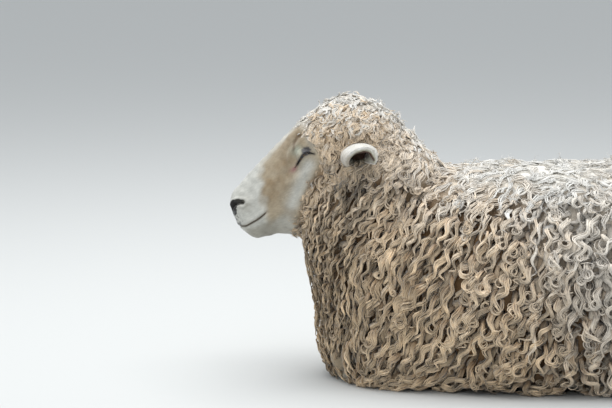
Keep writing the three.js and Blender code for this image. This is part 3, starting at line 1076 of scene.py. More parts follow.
@dataclass(frozen=True)
class Ear:
    """An ear: a leaf bent to a hood along its middle line, open below and in front, with thick rounded rims.

    A place on the leaf is a fraction t of the way out and an angle, 0 at the crown and positive to the front.
    Its section is a part of an oval, half as wide, as high and as deep as the leaf's stations say, between
    the angles of the front and the rear rim. The skin lies under the solid's outline by the hair, and the
    inside is padded by the lining.
    """

    line: Line = (
        (-305, 74, 448), (-306, 112, 450), (-304, 150, 452), (-299, 184, 453), (-296, 211, 454),
    )
    leaf: Stations = Stations((
        (0, 22, 19, 20), (0.3, 34, 22, 27), (0.55, 36, 23, 29), (0.8, 33, 23, 31), (1, 31, 23, 32),
    ))
    front: Stations = Stations(((0, 166), (0.2, 146), (0.4, 130), (0.6, 118), (0.8, 104), (1, 86)))
    rear: Stations = Stations(((0, 166), (0.2, 152), (0.4, 142), (0.6, 136), (0.8, 134), (1, 130)))
    tip_angle: float = math.radians(-102.0)
    turn: float = math.radians(12.0)
    hair: float = 3.0
    wall: float = 1.6
    rim: float = 1.6
    lining: float = 8.0
    samples: int = 60

    def frame(self, side: Side, t: Array) -> Spots:
        """The middle line's points at fractions t, with the directions to the front rim and to the crown."""
        line = np.asarray(self.line) * (1, side.value, 1)
        middle = along_curves(line[None], t[None])[0]
        heading = unit(np.gradient(middle, axis=0))
        fore = unit(np.array([-1.0, 0, 0]) + heading[:, :1] * heading)
        up = np.cross(heading, fore) * side.value
        edge = fore * math.cos(self.turn) - up * math.sin(self.turn)
        crown = up * math.cos(self.turn) + fore * math.sin(self.turn)
        return middle, edge, crown

    def reach(self, t: Array, angle: Array) -> Array:
        """The oval's radius at an angle from the crown."""
        half, above, below = (self.leaf.at(t, i) for i in (1, 2, 3))
        height = np.where(np.cos(angle) > 0, above, below)
        return 1.0 / np.sqrt((np.sin(angle) / half) ** 2 + (np.cos(angle) / height) ** 2)

    def closed(self, t: Array, angle: Array) -> Mask:
        """Whether an angle lies between the leaf's rims, or a little past them."""
        spare = math.radians(8)
        front, rear = np.radians(self.front.at(t, 1)), np.radians(self.rear.at(t, 1))
        return (angle < front + spare) & (angle > -rear - spare)

    def rings(self, side: Side, rings: int = 72, sides: int = 80) -> Array:
        """The ear as closed rings: out over the leaf's back from rim to rim, and back inside it.

        Past 0.7 of the length the front rim sweeps over the crown to the tip, which hangs at the rear.
        """
        t = np.linspace(0.0, 1.0, rings) ** 0.85
        tt, turn = np.meshgrid(t, np.linspace(0, TAU, sides, endpoint=False), indexing="ij")
        closing = np.clip((tt - 0.66) / 0.34, 0, 1)
        open_ = np.maximum((1 - closing**2.6) ** 0.55, 0.01)
        front = self.tip_angle + (np.radians(self.front.at(tt, 1)) - self.tip_angle) * open_
        rear = self.tip_angle - (np.radians(self.rear.at(tt, 1)) + self.tip_angle) * open_**0.8
        s = np.cos(turn)
        angle = (front + rear) / 2 + s * (front - rear) / 2
        mean = self.reach(tt, angle) - self.hair
        from_rim = (1 - np.abs(s)) * (front - rear) / 2 * mean
        thick = self.wall + self.rim * np.exp(-from_rim / 7.0)
        thick = thick * np.sqrt(1 - (1 - np.minimum(from_rim / thick, 1)) ** 2)
        curl = 5.0 * smooth(0.6, 1.0, tt) * smooth(math.radians(-40), math.radians(-90), angle)
        padded = self.lining * (1 - bell(from_rim, 8.0)) * (np.sin(turn) < 0)
        mean = mean - 2.0 * np.exp(-from_rim / 5.0) - curl + thick * np.sign(np.sin(turn)) - padded
        middle, edge, crown = self.frame(side, t)
        return (
            middle[:, None]
            + edge[:, None] * (np.sin(angle) * mean)[..., None]
            + crown[:, None] * (np.cos(angle) * mean)[..., None]
        )

    def own(self, side: Side, points: Array) -> Spots:
        """Where points are on an ear: the fraction t, the angle, and how far out they are over the reach."""
        middle, edge, crown = self.frame(side, np.linspace(0.0, 1.0, self.samples))
        _, run = near_line(points, middle)
        i = self.nearest(run)
        away = points - middle[i]
        fore, up = np.sum(away * edge[i], axis=-1), np.sum(away * crown[i], axis=-1)
        angle = np.arctan2(fore, up)
        return run, angle, np.linalg.norm(away, axis=-1) / self.reach(run, angle)

    def nearest(self, run: Array) -> Faces:
        """Which of the sampled places of the middle line is nearest to a fraction of it."""
        last = self.samples - 1
        return np.clip((run * last).round().astype(int), 0, last)


EAR = Ear()


@dataclass
class Skin:
    """One skin under the whole coat: head, neck, trunk, ears, tail and legs joined into one closed mesh."""

    def head_grid(self) -> Array:
        """The head as rings of points, closest together around the muzzle and the eyes."""
        pitch = Stations((
            (0.0, 0.9), (70.0, 1.1), (90.0, 2.2), (140.0, 2.2), (150.0, 1.0), (205.0, 1.0), (225.0, 3.5),
            (HEAD.end - 5.0, 6.0),
        ))
        along = [0.6]
        while along[-1] < HEAD.end - 8.0:
            along.append(along[-1] + float(pitch.at(np.array(along[-1]), 1)))
        along = np.array(along)
        turn = np.linspace(0.0, math.pi, 400)
        weight = 1.0 + 1.3 * bell(turn - math.radians(72), math.radians(48))
        spread = np.concatenate([[0.0], np.cumsum((weight[1:] + weight[:-1]) / 2)])
        half = np.interp(np.linspace(0, 1, 143), spread / spread[-1], turn)
        angle = np.concatenate([half, TAU - half[-2:0:-1]])
        s, a = np.meshgrid(along, angle, indexing="ij")
        return self.features(s, a, wool_depth(HEAD, HEAD.surface(s, a)))

    def features(self, along: Array, angle: Array, inset: Array) -> Array:
        """The head under its hair, with nostrils, mouth, lids, folds and cheeks.

        Bumps and grooves are bell curves of the distance to a line or a place, moved along the skin's normal.
        """
        plain = HEAD.surface(along, angle, 0.0)
        outward = grid_normals(plain)
        from_middle = plain - HEAD.at(along, 0 * along, HEAD.stations.at(along, 3))
        outward = outward * np.sign(dot(outward, from_middle))
        base = plain - outward * inset[..., None]
        l, side, h = HEAD.own(base)
        out = np.abs(side)
        flat = np.stack([l, h], axis=-1)
        solid = np.stack([l, out, h], axis=-1)
        lift = np.zeros_like(l)

        # Nostril: a comma from beside the lip, up and back over the muzzle, under a soft wing.
        comma = ((3.5, 7.5, 1.0), (7, 13, 9), (14, 19, 14), (23, 25, 14), (31, 30, 10))
        nostril, run = near_line(solid, comma)
        size = 0.8 + 0.5 * np.sin(math.pi * np.clip(run * 1.1, 0, 1))
        lift += 2.2 * bell(nostril - 8.0, 3.4) * smooth(0.05, 0.3, run)
        lift -= 7.5 * size * bell(nostril / size, 3.1)

        # Mouth: a groove along the lips, a little fuller on both sides of it, ending in an upturned corner.
        line = LIPS.at(l, 1)
        shut = 1 - smooth(60.0, 66.0, l)
        lift -= 2.6 * bell(h - line, 1.6) * shut
        lift += 1.7 * bell(h - line - 5.5, 4.0) * shut + 1.2 * bell(h - line + 5.0, 3.5) * shut
        lift -= 1.6 * bell(np.hypot(l - 66, h + 26), 5.0)

        # Philtrum, chin and the hollow behind the lips.
        front = 1 - smooth(6, 18, l)
        lift -= 2.2 * bell(out, 1.8) * front * smooth(-30, -24, h) * (1 - smooth(2, 10, h))
        lift -= 1.8 * bell(np.hypot(l - 84, (h + 22) * 0.6), 14.0)
        lift += 1.5 * bell(np.hypot(l - 24, h + 58), 14.0)

        # Cheek muscle, cheekbone, the groove of the bridge, and the fold of the brow.
        lift += 3.2 * bell(np.hypot(l - 138, (h + 52) * 0.8), 32.0)
        cheekbone, _ = near_line(flat, ((118, 2), (150, 8), (178, 12), (205, 26)))
        lift += 2.6 * bell(cheekbone, 8.0)
        bridge, _ = near_line(flat, ((45, 20), (90, 34), (140, 52)))
        lift -= 1.2 * bell(bridge, 9.0)
        fold, run = near_line(flat, ((163, 49), (167, 60), (174, 70), (185, 77), (200, 77), (216, 71)))
        lift -= 2.8 * bell(fold, 2.6) * smooth(0.0, 0.25, run) * (1 - smooth(0.8, 1.0, run))
        brow, _ = near_line(flat, ((170, 79), (186, 86), (204, 86)))
        lift += 2.4 * bell(brow, 6.0)
        lift += 0.7 * ripple(base, 19, 11) * smooth(12, 40, l)

        shaped = base + outward * lift[..., None]
        l, side, h = HEAD.own(shaped)
        near = 1 - smooth(24.0, 32.0, np.hypot((l - EYE_PLACE[0]) * 0.85, h - EYE_PLACE[2]))
        facing = near * (np.abs(side) > 30.0)
        reach = LIDS.shape(l, h, np.abs(side))
        side = np.sign(side) * (np.abs(side) + (reach - np.abs(side)) * facing)
        return HEAD.at(l, side, h)

    def lofted(self, form: Form, rings: int, sides: int) -> Array:
        """A form under its wool as rings of points, kept off the floor."""
        t = 0.5 - 0.5 * np.cos(np.linspace(0.015, 0.985, rings) * math.pi)
        ends = 11.0 if isinstance(form, Tail) else 25.0
        along = form.start + ends + t * (form.end - form.start - 2 * ends)
        s, a = np.meshgrid(along, np.linspace(0, TAU, sides, endpoint=False), indexing="ij")
        grid = form.surface(s, a, wool_depth(form, form.surface(s, a)))
        clear, z = 6.0, grid[..., 2]
        grid[..., 2] = np.where(z < clear, clear + 2.0 * np.tanh((z - clear) / 60.0), z)
        return grid

    def build(self) -> Piece:
        """The parts of the skin, united into one mesh and coloured."""
        grids = {
            "skin": self.head_grid(),
            "neck_skin": self.lofted(NECK, 40, 64),
            "trunk_skin": self.lofted(TRUNK, 60, 96),
            "tail_skin": self.lofted(TAIL, 24, 24),
        }
        for side in Side:
            grids[f"ear_skin_{side.label}"] = EAR.rings(side)
            grids |= {f"{name}_skin_{side.label}": limb.rings(side) for name, limb in LIMBS.items()}
        hide = union("skin", [make_object(name, *closed_grid(grid)) for name, grid in grids.items()])
        paint(hide.data, self.colours(from_row(read_vectors(hide.data.vertices, "co"))))
        return hide

    @staticmethod
    def on_leg(points: Array) -> Array:
        """1 on the short-haired legs below the wool, 0 elsewhere."""
        return smooth(44, 40, leg_gap(points)) * smooth(92, 80, points[:, 2])

    @staticmethod
    def on_face(points: Array) -> Array:
        """1 on the short-haired face in front of the wool, 0 elsewhere."""
        along = HEAD.own(points)[0]
        return (1 - wool_share(points)) * (along < 240) * (along > -12) * (points[:, 0] < -280)

    @staticmethod
    def on_ear(side: Side, points: Array, t: Array, beyond: Array) -> Mask:
        """Which points lie on an ear, from its root outwards."""
        return (points[:, 1] * side.value > 84) & (beyond < 1.15) & (t > 0.02)

    @staticmethod
    def bareness(points: Array) -> Array:
        """1 where the skin has short hair only: face, ears and legs."""
        bare = np.maximum(Skin.on_face(points), Skin.on_leg(points))
        for side in Side:
            t, _, beyond = EAR.own(side, points)
            bare = np.maximum(bare, Skin.on_ear(side, points, t, beyond))
        return bare

    def colours(self, points: Array) -> Array:
        """The marked colour at points of the skin: face, ears, legs, and under the fleece the wool's colour
        darkened as painted shade.
        """
        # Under the fleece: the wool's colour darkened by the painted shade of the coat's depths.
        under = MARKINGS.wool(points) * MARKINGS.depth(points)
        colours = under + (MARKINGS.face(points) - under) * self.on_face(points)[:, None]
        for side in Side:
            t, angle, beyond = EAR.own(side, points)
            found = self.on_ear(side, points, t, beyond)
            colours = np.where(found[:, None], MARKINGS.ear(points, t, angle, beyond), colours)
        shin, knee = self.on_leg(points), smooth(-318, -340, points[:, 0])
        colours = MARKINGS.mix(colours, MARKINGS.white, shin * 0.9)
        return MARKINGS.mix(colours, MARKINGS.brown, shin * knee * 0.8)


@dataclass
class Eyeball:
    """An eyeball that looks out to one side: white, amber iris, level slot of a pupil, bulging cornea."""

    radius: float = EYE_RADIUS
    bulge: float = 0.9
    iris: float = 8.6
    pupil: Pair = (5.2, 2.0)
    amber: Colour = linear(142, 104, 48)
    limbus: Colour = linear(38, 28, 20)
    white: Colour = linear(150, 132, 118)

    def build(self, side: Side) -> Piece:
        """The ball as rings round its line of sight, radius + bulge * exp(-(angle / 0.45)^2)."""
        polar, round_ = np.linspace(0.01, math.pi - 0.01, 72), np.linspace(0, TAU, 96, False)
        angle, turn = np.meshgrid(polar, round_, indexing="ij")
        r = self.radius + self.bulge * bell(angle, 0.45)
        sight = unit(np.array([-0.30, side.value, -0.05]))
        level = unit(np.cross([0.0, 0.0, 1.0], sight))
        over = np.cross(sight, level)
        centre = HEAD.at(*(np.array(EYE_PLACE) * (1, side.value, 1)))
        flat, rise = np.sin(angle) * np.cos(turn), np.sin(angle) * np.sin(turn)
        grid = centre + r[..., None] * (
            np.cos(angle)[..., None] * sight + flat[..., None] * level + rise[..., None] * over
        )
        points, quads, tris = closed_grid(grid)
        across = np.append(r * flat, [0.0, 0.0])
        high = np.append(r * rise, [0.0, 0.0])
        front = np.append(np.cos(angle), [1.0, -1.0])
        off = np.hypot(across, high) + 40.0 * (front < 0)
        colour = np.broadcast_to(np.asarray(self.white), points.shape)
        rays = 0.8 + 0.25 * np.sin(np.arctan2(high, across) * 37)
        amber = np.asarray(self.amber) * rays[:, None]
        colour = MARKINGS.mix(colour, self.limbus, smooth(self.iris + 1.6, self.iris + 0.4, off))
        colour = MARKINGS.mix(colour, amber, smooth(self.iris, self.iris - 1.4, off))
        slot = np.maximum(np.abs(across) / self.pupil[0], 0) ** 4 + np.abs(high / self.pupil[1]) ** 4
        colour = colour * (1 - 0.97 * smooth(1.5, 0.8, slot) * (front > 0))[:, None]
        return make_object(f"eyeball_{side.label}", points, quads, tris, colour)


@dataclass
class Claw:
    """One claw of a cloven foot, fitted to its room: a horn wedge with a flat sole and rings of growth."""

    rings: int = 34
    sides: int = 28
    growth: float = 0.35
    dark: Colour = linear(70, 60, 50)
    pale: Colour = linear(128, 112, 92)

    def build(self, node: str, toe: float) -> Piece:
        """A claw from its node's box.

        The width closes as sqrt(1 - d^2) at the heel and (1 - d^1.9)^(1 / 1.9) at the toe, where d grows to 1
        at the end, and the height tapers to the toe.

        Args:
            node: the claw's node.
            toe: +1 where the toe points to +X, -1 where it points to -X.

        Returns:
            The claw.
        """
        low, high = (np.asarray(corner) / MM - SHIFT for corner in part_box(node))
        size, middle = high - low, (low + high) / 2
        run, turn = np.linspace(0.006, 0.994, self.rings), np.linspace(0, TAU, self.sides, False)
        t, a = np.meshgrid(run, turn, indexing="ij")
        heel, tip = np.clip(1 - t / 0.16, 0, 1), np.clip((t - 0.55) / 0.45, 0, 1)
        open_ = np.sqrt(1 - heel**2) * (1 - tip**1.9) ** (1 / 1.9)
        ring = self.growth * np.sin(t * 46 + 1.2 * np.cos(a)) * open_
        wide = (size[1] / 2 - 0.4) * (0.86 + 0.14 * np.sin(math.pi * t)) * open_
        tall = (size[2] / 2 - 0.3) * (1 - 0.38 * t) * open_
        boxy = 1.0 / (np.abs(np.sin(a)) ** 2.8 + np.abs(np.cos(a)) ** 2.8) ** (1 / 2.8)
        x = middle[0] + toe * (t - 0.5) * size[0]
        y = middle[1] + np.sin(a) * boxy * (wide + ring)
        z = low[2] + 0.3 + (1 - 0.38 * t) * (size[2] / 2 - 0.3) + np.cos(a) * boxy * (tall + ring)
        points, quads, tris = closed_grid(np.stack([x, y, np.maximum(z, low[2])], axis=-1))
        along = np.clip(toe * (points[:, 0] - middle[0]) / size[0] + 0.5, 0, 1)
        streak = 0.5 + 0.5 * ripple(points * (0.25, 1, 1), 7, 31)
        colour = MARKINGS.mix(np.asarray(self.dark), self.pale, 0.35 + 0.5 * along * streak)
        return make_object(node.replace("hoof", "claw"), points, quads, tris, colour)


# ---- The fleece ----


@dataclass(frozen=True)
class Wool:
    """One kind of wool, with the build of a lock at a size of 1, in millimetres.

    A lock is a flattened cord with ridges that turn slowly about it, and thin strands that run on it and
    leave it near the tip.

    Attributes:
        spacing: how far apart the locks stand.
        length: how far a lock goes along the body.
        wavelength: the length of its waves.
        swing: how far the waves swing to each side.
        core: half the cord's width and half its thickness.
        radius: half a thin strand's width.
        segments: how many steps a strand has.
        scatter: how far locks turn off the lie of the coat, in radians.
        chaos: how far neighbours are out of step, in radians of the wave.
        strands: how many thin strands a lock has.
        ridges: how many ridges the cord has.
        ridge: how high they are, as a share of the cord's radius; it also sets the painted shade in the
            grooves and the painted light on the ridges.
        hooks: the share of locks whose tips curl round.
        tip: the least and the most that a tip lifts, and where along the lock it starts to.
        sink: how much deeper than others the locks lie.
        tone: what the colour is multiplied by.
        level: how much higher or lower one lock lies than the next.
        shade: how much lighter the higher locks are painted, as painted light on the outer locks and shade on
            the inner ones.
        variety: how much locks differ in tone.
        bright: how much lighter than its lock a thin strand may be, as a painted highlight.
        relief: how much the waves rise and fall.
        gather: how wide the strands spread over their cord.
    """

    spacing: float
    length: float
    wavelength: float
    swing: float
    core: Pair
    radius: float
    segments: int
    scatter: float
    chaos: float
    strands: int = 3
    ridges: int = 2
    ridge: float = 0.1
    hooks: float = 0.12
    tip: Place = (-3.0, 4.0, 0.72)
    sink: float = 0.0
    tone: float = 1.0
    level: float = 3.0
    shade: float = 0.14
    variety: float = 0.09
    bright: float = 0.4
    relief: float = 1.0
    gather: float = 1.0


SHOULDER_WOOL = Wool(
    spacing=26.0, length=124.0, wavelength=50.0, swing=6.0, core=(5.2, 3.4), radius=2.1, segments=16,
    scatter=0.16, chaos=0.9,
)
FLANK_WOOL = Wool(
    spacing=24.8, length=94.0, wavelength=54.0, swing=6.4, core=(5.0, 3.4), radius=2.0, segments=14,
    scatter=0.22, chaos=1.3, hooks=0.5, tip=(-4.0, 7.0, 0.7),
)
NECK_WOOL = Wool(
    spacing=19.0, length=92.0, wavelength=44.0, swing=4.6, core=(3.7, 2.6), radius=1.6, segments=15,
    scatter=0.14, chaos=1.0, tip=(-3.0, 5.0, 0.7),
)
BACK_WOOL = Wool(
    spacing=19.2, length=61.0, wavelength=46.0, swing=3.0, core=(1.9, 1.2), radius=0.95, segments=8,
    scatter=0.7, chaos=2.2, strands=5, tip=(-2.0, 2.5, 0.7), level=0.9, shade=0.02, variety=0.03, bright=0.05,
    relief=0.35, gather=3.6,
)
HEAD_WOOL = Wool(
    spacing=12.5, length=42.0, wavelength=28.0, swing=3.2, core=(1.9, 1.4), radius=0.85, segments=8,
    scatter=0.4, chaos=1.4, strands=5, hooks=0.3, tip=(0.0, 8.0, 0.5), level=1.2, shade=0.04, variety=0.05,
    bright=0.1, relief=0.5, gather=2.1,
)
STRAY_WOOL = Wool(
    spacing=46.0, length=62.0, wavelength=34.0, swing=5.5, core=(1.3, 1.0), radius=0.7, segments=12,
    scatter=1.2, chaos=3.0, strands=2, ridge=0.0, hooks=0.5, tip=(9.0, 26.0, 0.35), bright=0.1,
)
CURLS = Wool(
    spacing=21.5, length=46.0, wavelength=26.0, swing=6.5, core=(1.9, 1.5), radius=1.1, segments=12,
    scatter=0.9, chaos=2.0, ridge=0.0, hooks=0.75, tip=(8.0, 19.0, 0.3), bright=0.1, relief=0.6,
)
# The under-layer: locks sunk deeper and darkened by their tone, as painted shade deep in the coat.
DEEP_WOOL = Wool(
    spacing=25.0, length=84.0, wavelength=50.0, swing=5.0, core=(9.0, 3.6), radius=1.0, segments=6,
    scatter=0.2, chaos=1.5, strands=0, ridge=0.2, hooks=0.0, tip=(-3.0, 0.0, 0.7), sink=9.0, tone=0.75,
)


@dataclass(frozen=True)
class Steady:
    """A field that has one value everywhere."""

    value: float

    def __call__(self, points: Array) -> Array:
        """The value at each point."""
        return np.full(len(points), self.value)


def on_back(p: Array) -> Array:
    """The chance of a lock over the back, behind the neck."""
    edge = p[..., 2] + 22 * ripple(p, 110, 21) + 55 * smooth(220, 420, p[..., 0])
    return smooth(338, 380, edge) * (p[..., 0] > -240)


def on_side(p: Array) -> Array:
    """The chance of a lock below the back, a little less over the rump."""
    return (1 - smooth(372, 408, p[..., 2]) * (p[..., 0] > -240)) * (1 - 0.3 * smooth(200, 280, p[..., 0]))


def on_shoulder(p: Array) -> Array:
    """The chance of a lock on the side, ahead of the ribs."""
    return on_side(p) * (1 - smooth(-150, -40, p[..., 0]))


def on_flank(p: Array) -> Array:
    """The chance of a lock on the side, behind the shoulder."""
    return on_side(p) * smooth(-150, -40, p[..., 0])


def on_throat(p: Array) -> Array:
    """The chance of a lock on the neck, below the nape."""
    return 1 - 0.95 * smooth(385, 425, p[..., 2])


def on_nape(p: Array) -> Array:
    """The chance of a lock over the top of the neck."""
    return smooth(385, 430, p[..., 2] + 14 * ripple(p, 60, 23))


def on_crown(p: Array) -> Array:
    """The chance of a lock on the head, behind the line where its wool begins."""
    return (wool_share(p) > 0.08) * 1.0


def on_top(p: Array) -> Array:
    """The chance of a lock over the back and the top of the head."""
    return on_back(p) + (p[..., 2] > 480) * 1.0


def on_topknot(p: Array) -> Array:
    """The chance of a lock on the top of the head, well behind the forehead."""
    return on_top(p) * (wool_share(p) > 0.75)


def side_size(p: Array) -> Array:
    """The size of the long locks: smaller on the chest and towards the back, larger over the rump."""
    x, z = p[..., 0], p[..., 2]
    return (
        (0.66 + 0.34 * smooth(-390, -220, x))
        * (1 + 0.22 * smooth(200, 280, x))
        * (1 - 0.35 * smooth(330, 400, z) * (x > -200))
    )


def crown_size(p: Array) -> Array:
    """The size of the head's locks: smaller at the line where the wool begins."""
    return 0.5 + 0.7 * smooth(0.1, 0.9, wool_share(p))


@dataclass(frozen=True)
class Growth:
    """One kind of wool on one form.
    """

    label: str
    wool: Wool
    form: Form
    seed: int
    where: Field
    size: Field
    bins: int = 1
    slot: str = "fleece"


FLEECE = (
    Growth("under_trunk", DEEP_WOOL, TRUNK, 27, on_side, side_size),
    Growth("under_neck", replace(DEEP_WOOL, spacing=21.0, length=70.0), NECK, 29, on_throat, side_size),
    Growth("shoulder", SHOULDER_WOOL, TRUNK, 31, on_shoulder, side_size),
    Growth("flank", FLANK_WOOL, TRUNK, 33, on_flank, side_size, bins=2),
    Growth("back", BACK_WOOL, TRUNK, 37, on_back, Steady(1.0), slot="pale_fleece"),
    Growth("neck", NECK_WOOL, NECK, 47, on_throat, side_size),
    Growth("nape", replace(HEAD_WOOL, spacing=15.0, length=50.0), NECK, 53, on_nape, Steady(1.3),
           slot="pale_fleece"),
    Growth("head", HEAD_WOOL, HEAD, 59, on_crown, crown_size, slot="pale_fleece"),
    Growth("tail", replace(HEAD_WOOL, spacing=14.0), TAIL, 61, Steady(1.0), Steady(0.9), slot="pale_fleece"),
    Growth("back_stray", STRAY_WOOL, TRUNK, 67, on_top, Steady(0.9), slot="pale_fleece"),
    Growth("head_stray", CURLS, HEAD, 71, on_topknot, Steady(0.9), slot="pale_fleece"),
)

# Each form's strip of the unwrapped skin: where it starts and how much of the height it has.
STRIPS = {Trunk: (0.02, 0.52), Neck: (0.56, 0.15), Head: (0.73, 0.15), Tail: (0.90, 0.03)}
EAR_STRIP = (0.94, 0.05)
PATCH = 0.003  # the side of a strand's patch on the unwrapped skin
BRIGHTEST = 0.8  # the most of any primary colour that wool gives back
LIGHTEST = 1.45  # the most that a strand's tone multiplies its colour by


def unwrap(form: Form, along: Array, angle: Array) -> Array:
    """Places on the unwrapped skin: across by the angle round the form, up by the distance along it."""
    start, height = STRIPS[type(form)]
    share = np.clip((along - form.start) / (form.end - form.start), 0, 1)
    return np.stack([0.02 + 0.95 * np.mod(angle, TAU) / TAU, start + height * share], axis=-1)


@dataclass
class Strands:
    """Many tapered strands, as arrays: n strands of k points, each with a section of a few sides.

    A section is an oval with ridges, (across * wide * cos(turn) + normal * thick * sin(turn)) * (1 + ridge),
    where the ridge is positive on every second side and negative between them, and the turn grows with the
    twist.
    """

    lines: Array
    across: Array
    normal: Array
    wide: Array
    thick: Array
    colours: Array
    places: Array
    roots: Array
    twist: Array
    sides: int
    ridge: float = 0.0

    def pick(self, chosen: Mask) -> "Strands":
        """Only the chosen strands."""
        rows = {label: value[chosen] for label, value in vars(self).items() if isinstance(value, np.ndarray)}
        return replace(self, **rows)

    def mesh(self) -> tuple[Array, Faces, Faces, Array, Array, Array]:
        """The strands as closed tubes that end in a point.

        Returns:
            Vertices, quads, triangles, colours, the map of roots and the map along the fibres.
        """
        count, k = self.wide.shape
        n = self.sides
        turn = np.arange(n) * TAU / n + 0.3 + self.twist[:, :-1, None]
        ridged = 1 + self.ridge * np.where(np.arange(n) % 2 == 0, 1.0, -1.0)
        section = (
            self.across[:, :-1, None] * (np.cos(turn) * ridged * self.wide[:, :-1, None])[..., None]
            + self.normal[:, :-1, None] * (np.sin(turn) * ridged * self.thick[:, :-1, None])[..., None]
        )
        body = (self.lines[:, :-1, None] + section).reshape(count, -1, 3)
        points = np.concatenate([body, self.lines[:, -1:]], axis=1)
        points[..., 2] = np.maximum(points[..., 2], 0.3)
        ring = np.arange((k - 1) * n).reshape(k - 1, n)
        turned = np.roll(ring, -1, axis=1)
        quads = np.stack([ring[:-1], ring[1:], turned[1:], turned[:-1]], axis=-1).reshape(-1, 4)
        tip = np.stack([ring[-1], np.full(n, (k - 1) * n), turned[-1]], axis=-1)
        root = np.stack([np.zeros(n - 2, int), np.arange(1, n - 1), np.arange(2, n)], axis=-1)
        tris = np.concatenate([tip, root])
        base = (np.arange(count) * points.shape[1])[:, None, None]
        shade = np.concatenate([np.repeat(self.colours[:, :-1], n, axis=1), self.colours[:, -1:]], axis=1)
        # Painted shade in the grooves between the ridges, and painted light on the ridges.
        shade[:, :-1] *= np.tile(0.5 + 0.5 * ridged, k - 1)[None, :, None] ** 3.2
        steps = np.linalg.norm(np.diff(self.lines, axis=1), axis=-1).mean(axis=0)
        run = np.concatenate([[0.0], np.cumsum(steps)])
        around = np.append(np.tile(np.arange(n) / n, k - 1), 0.5)
        up = np.append(np.repeat(np.arange(k - 1), n), k - 1)
        bake = self.places[:, None] + np.stack([around, up / (k - 1)], axis=-1)[None] * PATCH
        girth = TAU * float(self.wide.max())
        offset = np.mod(self.roots.sum(axis=-1) * 7.3, 50.0)[:, None]
        fibre = np.stack([around * girth + offset, np.broadcast_to(run[up], (count, len(up)))], axis=-1)
        return (
            points.reshape(-1, 3), (quads + base).reshape(-1, 4), (tris + base).reshape(-1, 3),
            shade.reshape(-1, 3), bake.reshape(-1, 2), fibre.reshape(-1, 2),
        )


def coat_piece(name: str, sets: list[Strands], finish: Material) -> Piece:
    """One piece of the coat from sets of strands, with the map of roots and the map along the fibres."""
    meshes = [strands.mesh() for strands in sets if len(strands.lines)]
    starts = np.cumsum([0] + [len(mesh[0]) for mesh in meshes])
    points, shade, bake, fibre = (np.concatenate([mesh[i] for mesh in meshes]) for i in (0, 3, 4, 5))
    quads, tris = (np.concatenate([mesh[i] + start for mesh, start in zip(meshes, starts)]) for i in (1, 2))
    piece = make_object(name, points, quads, tris, shade, {"OFBake": bake, "fibre": fibre})
    dress(piece, finish)
    count = 2 * len(quads) + len(tris)
    log.info("%s: %d strands, %d triangles", name, sum(len(strands.lines) for strands in sets), count)
    return piece


def square_to(lines: Array, normal: Array) -> tuple[Array, Array]:
    """The directions across strands, and their normals made square to the strands."""
    heading = unit(np.gradient(lines, axis=1))
    normal = unit(normal - dot(normal, heading) * heading)
    return np.cross(heading, normal), normal


@dataclass(frozen=True)
class Locks:
    """The middle lines of n locks, and how large each is.
    """

    skin: Array
    places: Array
    scale: Array
    size: Array
    length: Array
    level: Array
    path: Array
    normals: Array


